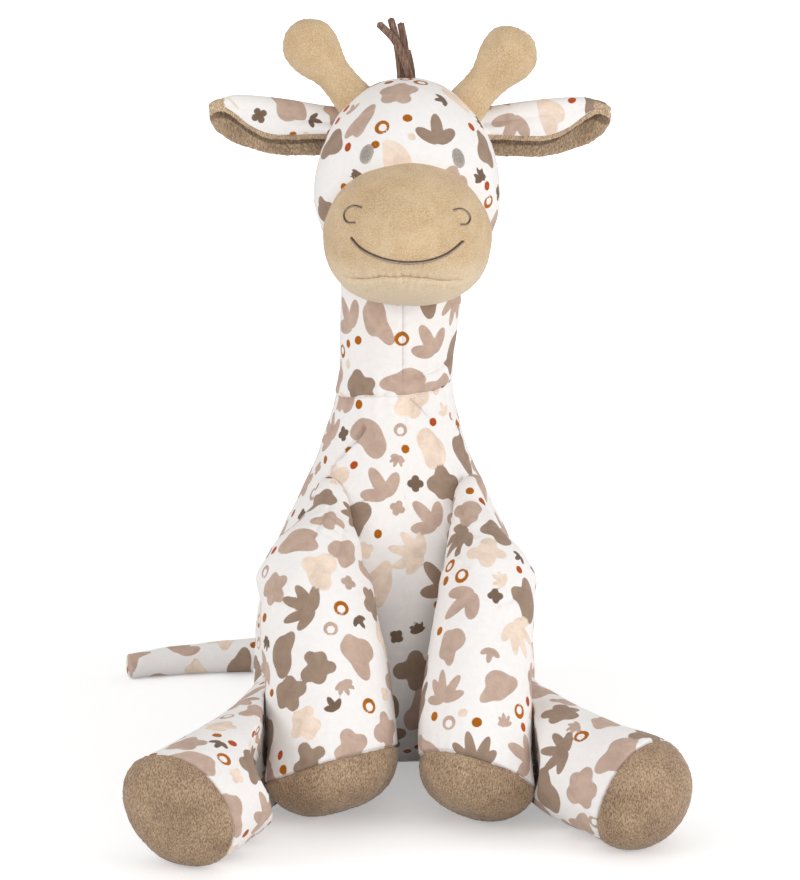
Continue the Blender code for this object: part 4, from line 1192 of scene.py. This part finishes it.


# How far below the flap's edge its painted shadow reaches on the lining, and where a line at the
# ear's root starts and ends, and its height.
hem_shade = 0.0066
hinge_start, hinge_end, hinge_height = 0.042, 0.066, 0.394
for side, flip in (("right", -1), ("left", 1)):
    outer = ear_layer(f"{side}_ear_cover", flip, shift=0.0013, spare=-0.0008, thick=0.0020, short=0.07)
    print_cloth(outer, 35 + flip, 2, through=True)
    outer.data.materials.append(printed_minky)
    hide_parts(f"{side}_ear")
    inner = ear_layer(f"{side}_ear_lining_cover", flip, shift=-0.0010, spare=0.0024, thick=0.0034, short=0)
    points = roughen(inner, (0.0022, 0.00045, 33), (0.012, 0.0006, 34))
    # Painted shadow: the flap's hem casts a dark line on the lining behind it, painted into its colour as a
    # seam's shade is.
    share = np.clip((np.abs(points[:, 0] - head_middle[0]) - ear_root) / (ear_tip - ear_root), 0, 1)
    hem = eased(ear_top, share)[:, 0] - eased(ear_flap, share)[:, 0] - hem_shade
    hem -= left_droop * share if flip > 0 else 0
    below = np.maximum(0, hem - points[:, 2]) * 1.1
    behind = points[:, 1] > ear_middle - curl_at(share)
    everywhere = np.ones(len(share))
    mark_painted_shade(inner, np.where(behind, below, 1.0), everywhere / 2, everywhere, 0.5, True)
    inner.data.materials.append(painted_lit_plush)
    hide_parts(f"{side}_ear_lining")
    for layer in (outer, inner):
        end = (head_middle[0] + flip * hinge_end, ear_middle, hinge_height)
        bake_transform(layer)

# The front legs are stuffed tubes of minky that hang from the shoulders and stand on round soles.
# Each sole is a separate disc of brown plush, sewn round the leg's end and domed by the stuffing.


# A limb's rings turn to face as its end does, from this share of its length on.
turn_from = 0.55


def path_places(path, sides_to, facing):
    """Ring places along (centre, radius) rows, which turn to face a way as they near the end."""
    places = []
    for i, (centre, radius) in enumerate(path):
        before, after = path[max(i - 1, 0)][0], path[min(i + 1, len(path) - 1)][0]
        late = max(0, (i / (len(path) - 1) - turn_from) / (1 - turn_from))
        late = late * late * (3 - 2 * late)
        along = (after - before).normalized().lerp(facing, late)
        places.append(ring_place(centre, along, sides_to, radius, radius))
    return places


def rolled_in(path, facing):
    """A leg's rows with the cloth at its open end rolled in under the sole."""
    seam, radius = path[-1]
    return path[1:-2] + [
        (seam - facing * 0.0010, radius * 0.985),
        (seam, radius * 0.950),
        (seam - facing * 0.0008, radius * 0.850),
    ]


# A sole's dome is fuller than a ball at its side and rises a little late.
dome_side, dome_rise = 0.82, 1.12
dome_overhang = 1.005
seam_sunk = 0.0006


def sole_of(name, seam, facing, radius, height, sides_to, seed):
    """A plush sole: drawn in at its seam, domed by the stuffing and flat where it stands."""
    places = []
    for back, share in ((0.0030, 0.60), (0.0012, 0.955)):
        places.append(ring_place(seam - facing * back, facing, sides_to, radius * share, radius * share))
    for i in range(65):
        angle = i / 64 * math.pi / 2
        across = radius * dome_overhang * max(0.02, math.cos(angle)) ** dome_side
        centre = seam + facing * height * math.sin(angle) ** dome_rise
        places.append(ring_place(centre, facing, sides_to, across, across))
    sole = as_object(stuffed_tube(places, 260), name)
    swell(sole, 0.030, 0.0009, seed)
    roughen(sole, (0.0020, 0.00040, seed + 1))
    settle(sole)
    sole.data.materials.append(brown_plush)
    return sole


def rim_of(seam, facing, radius, sides_to):
    """The round seam where a sole is sewn on."""
    across = (sides_to - facing * sides_to.dot(facing)).normalized()
    second = facing.cross(across)
    turns = np.linspace(0, math.tau, 61)
    middle = seam - facing * seam_sunk
    return [middle + (across * math.cos(t) + second * math.sin(t)) * radius for t in turns]


rim_seam = {"depth": 0.0005, "width": 0.0012, "pucker": 0.0005, "reach": 0.006, "pitch": 0.0075}
rim_seam |= {"line": 0.3, "closed": True}
# Each leg's shoulder, its foot, the way its sole faces, and its rows from top to foot: share of
# the way, place across and radius.
front_legs = {
    "right": (
        Vector((-0.0480, -0.0430, 0.1760)),
        Vector((-0.0396, -0.1530, 0.0315)),
        Vector((0.27, -0.36, -0.89)),
        (
            (-0.05, -0.0440, 0.0040),
            (0.00, -0.0432, 0.0092),
            (0.09, -0.0415, 0.0130),
            (0.155, -0.0440, 0.0186),
            (0.22, -0.0458, 0.0241),
            (0.32, -0.0500, 0.0314),
            (0.43, -0.0494, 0.0353),
            (0.58, -0.0458, 0.0368),
            (0.755, -0.0415, 0.0387),
            (0.92, -0.0394, 0.0404),
            (1.00, -0.0396, 0.0412),
        ),
    ),
    "left": (
        Vector((0.0480, -0.0430, 0.1760)),
        Vector((0.0484, -0.1650, 0.0300)),
        Vector((-0.30, -0.54, -0.78)),
        (
            (-0.05, 0.0498, 0.0040),
            (0.00, 0.0475, 0.0092),
            (0.09, 0.0460, 0.0116),
            (0.155, 0.0475, 0.0150),
            (0.22, 0.0496, 0.0192),
            (0.32, 0.0541, 0.0271),
            (0.43, 0.0548, 0.0300),
            (0.58, 0.0511, 0.0312),
            (0.755, 0.0485, 0.0338),
            (0.92, 0.0473, 0.0354),
            (1.00, 0.0484, 0.0362),
        ),
    ),
}
creases = {
    "right": (
        ((331, 505), (325, 520), (313, 536)),
        ((345, 528), (341, 548), (333, 566)),
        ((268, 592), (280, 600), (293, 603)),
    ),
    "left": (
        ((461, 503), (466, 520), (476, 536)),
        ((456, 530), (459, 550), (468, 566)),
        ((522, 596), (510, 602), (498, 604)),
    ),
}
# The filling pushes each elbow out: its place across, and the way and distance it is pushed.
elbows = {"right": (-0.0825, (-0.0042, 0, 0.0006)), "left": (0.0843, (0.0026, 0, 0.0006))}
elbow_share, elbow_spread = 0.35, 0.0105
sole_domes = {"right": 0.0275, "left": 0.0245}
# A leg bows forward and up by 12 mm, and its gathered top leans back into the torso.
leg_bow = 0.012
top_lean = 0.08
# Two distances down the leg from the shoulder.
bend_start, bend_end = 0.004, 0.050
front_paths = {}
for side, (shoulder, foot, facing, rows) in front_legs.items():
    facing.normalize()
    chord = foot - shoulder
    bow = Vector((0, chord.z, -chord.y)).normalized() * leg_bow
    path = []
    for share, x, radius in filled_in(rows, 156):
        centre = shoulder + chord * share + bow * 4 * share * (1 - share)
        centre.x = x
        centre.y += top_lean * max(0, -share)
        path.append((centre, radius))
    seam, radius = path[-1]
    places = path_places(rolled_in(path, facing), right, facing)
    leg = as_object(stuffed_tube(places, 200), f"{side}_front_leg_cover")
    swell(leg, 0.038, 0.0013, 40 if side == "left" else 41)
    elbow = shoulder + chord * elbow_share + bow * 0.9
    elbow.x, push = elbows[side]
    points, _ = points_of(leg)
    near = np.exp(-((np.linalg.norm(points - np.array(elbow), axis=1) / elbow_spread) ** 2))
    move_points(leg, points + near[:, None] * np.array(push))
    sew(leg, rim_of(seam, facing, radius, right), seed=42, **rim_seam)
    inward = 0.9 if side == "right" else -0.9
    inner_seam = [c + Vector((inward * r, 0.4 * r, 0)) for c, r in path[8:-6:6]]
    sew(leg, inner_seam, depth=0.0009, width=0.0013, pucker=0.0003, reach=0.006, pitch=0.008, seed=43)
    skin = skin_of(leg)
    for spots in creases[side]:
        crease = path_on(skin, spots)
        sew(leg, crease, depth=0.0012, width=0.0020, pucker=0.0004, reach=0.007, lip=0.0014, seed=44)
    settle(leg)
    print_cloth(leg, 44 if side == "left" else 45)
    leg.data.materials.append(printed_minky)
    end = shoulder + chord.normalized() * bend_end
    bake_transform(leg)
    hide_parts(f"{side}_front_leg")
    foot_end = seam + facing * seam_sunk
    sole = sole_of(f"{side}_front_sole_cover", foot_end, facing, radius, sole_domes[side], right, 46)
    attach(sole, f"{side}_front_leg")
    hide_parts(f"{side}_front_sole")
    # The hind leg gives way to the right foot's toes too, which stand further forward than its seam.
    toes = (Vector((-0.0396, -0.1700, 0.0260)), 0.0450) if side == "right" else (seam, radius)
    front_paths[side] = (shoulder, path[::6] + [(seam + facing * 0.006, radius * 0.95), toes])

# The hind legs are stuffed like the front ones and lie forward on the floor, turned out.
# They are pressed in where the front legs stand against them, and their soles face forward.
# Rows from hip to foot: share of the way, and of the leg's full radius.
hind_rows = (
    (0.00, 0.83),
    (0.12, 0.855),
    (0.25, 0.88),
    (0.38, 0.905),
    (0.52, 0.93),
    (0.66, 0.955),
    (0.80, 0.98),
    (0.92, 1.00),
    (1.00, 1.00),
)
# Each leg's hip, knee and foot, the way its sole faces, its full radius and its sole's dome.
hind_legs = {
    "right": (
        Vector((-0.064, -0.055, 0.038)),
        Vector((-0.0735, -0.158, 0.037)),
        Vector((-0.1236, -0.2400, 0.0360)),
        Vector((-0.478, -0.844, -0.243)),
        0.0366,
        0.0150,
    ),
    "left": (
        Vector((0.064, -0.055, 0.038)),
        Vector((0.080, -0.140, 0.036)),
        Vector((0.1405, -0.2040, 0.0335)),
        Vector((0.690, -0.675, -0.270)),
        0.0344,
        0.0275,
    ),
}
# They are pressed in for the first 30 degrees of a front leg's swing too, in steps of 5.
swing_pressed, swing_step = 30, 5
hip_bend = 0.045


def press(obj, spine, shoulder, path, clearance=0.0010):
    """Pushes a piece out of the way of a front leg and of its swing, towards its own middle line."""
    points, _ = points_of(obj)
    spine = np.array([tuple(centre) for centre, _ in spine])
    for lift in range(0, swing_pressed + 1, swing_step):
        turn = Matrix.Rotation(math.radians(-lift), 3, "X")
        for centre, radius in path:
            middle = np.array(shoulder + turn @ (centre - shoulder))
            aim = spine[np.argmin(np.linalg.norm(spine - middle, axis=1))] - middle
            aim /= np.linalg.norm(aim)
            step = points - middle
            short = np.linalg.norm(step, axis=1) < radius + clearance
            step = step[short]
            ahead = step @ aim
            room = (radius + clearance) ** 2 - np.einsum("ij,ij->i", step, step)
            points[short] += (np.sqrt(ahead**2 + room) - ahead)[:, None] * aim
    move_points(obj, points)


for side, (hip, knee, foot, facing, thick, dome) in hind_legs.items():
    facing.normalize()
    path = []
    for share, radius in filled_in(hind_rows, 140):
        path.append((hip.lerp(knee, share).lerp(knee.lerp(foot, share), share), radius * thick))
    seam, radius = path[-1]
    places = path_places(rolled_in(path, facing), up, facing)
    leg = as_object(stuffed_tube(places, 190), f"{side}_hind_leg_cover")
    swell(leg, 0.036, 0.0013, 50 if side == "left" else 51)
    sew(leg, rim_of(seam, facing, radius, up), seed=52, **rim_seam)
    print_cloth(leg, 53 if side == "left" else 54)
    press(leg, path, *front_paths[side])
    settle(leg)
    leg.data.materials.append(printed_minky)
    end = hip + (knee - hip).normalized() * hip_bend
    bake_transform(leg)
    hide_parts(f"{side}_hind_leg")
    foot_end = seam + facing * seam_sunk
    sole = sole_of(f"{side}_hind_sole_cover", foot_end, facing, radius, dome, up, 55)
    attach(sole, f"{side}_hind_leg")
    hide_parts(f"{side}_hind_sole")

# The tail is a thin stuffed tube of minky, sewn into the back seam, with its end closed square.
# It lies round on the floor to the giraffe's own right.
tail_root = Vector((-0.010, 0.086, 0.028))
tail_reach = Vector((-0.181, 0.036, 0))
tail_bend = tail_root + Vector((tail_reach.x / 4, tail_reach.y + 0.046, 0))
tail_end = tail_root + tail_reach
tail_thick, tail_thin = 0.0180, 0.0092
tail_sunk = 0.0005
# The tail comes down to the floor over this share of its length.
tail_lands = 0.33
path = []
for share in np.linspace(0, 1, 130):
    radius = tail_thick + (tail_thin - tail_thick) * share
    centre = tail_root.lerp(tail_bend, share).lerp(tail_bend.lerp(tail_end, share), share)
    low = min(1, share / tail_lands)
    centre.z = tail_root.z + (radius - tail_sunk - tail_root.z) * low * low * (3 - 2 * low)
    path.append((centre, radius))
direction = (path[-1][0] - path[-4][0]).normalized()
end = path[-1][0]
for past, share in ((0.0005, 0.97), (0.0011, 0.90), (0.0012, 0.5)):
    path.append((end + direction * past, tail_thin * share))
tail = as_object(stuffed_tube(path_places(path[1:], up, direction), 90), "tail_cover")
swell(tail, 0.022, 0.0009, 60)
settle(tail)
print_cloth(tail, 61)
tail.data.materials.append(printed_minky)
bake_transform(tail)
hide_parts("tail")
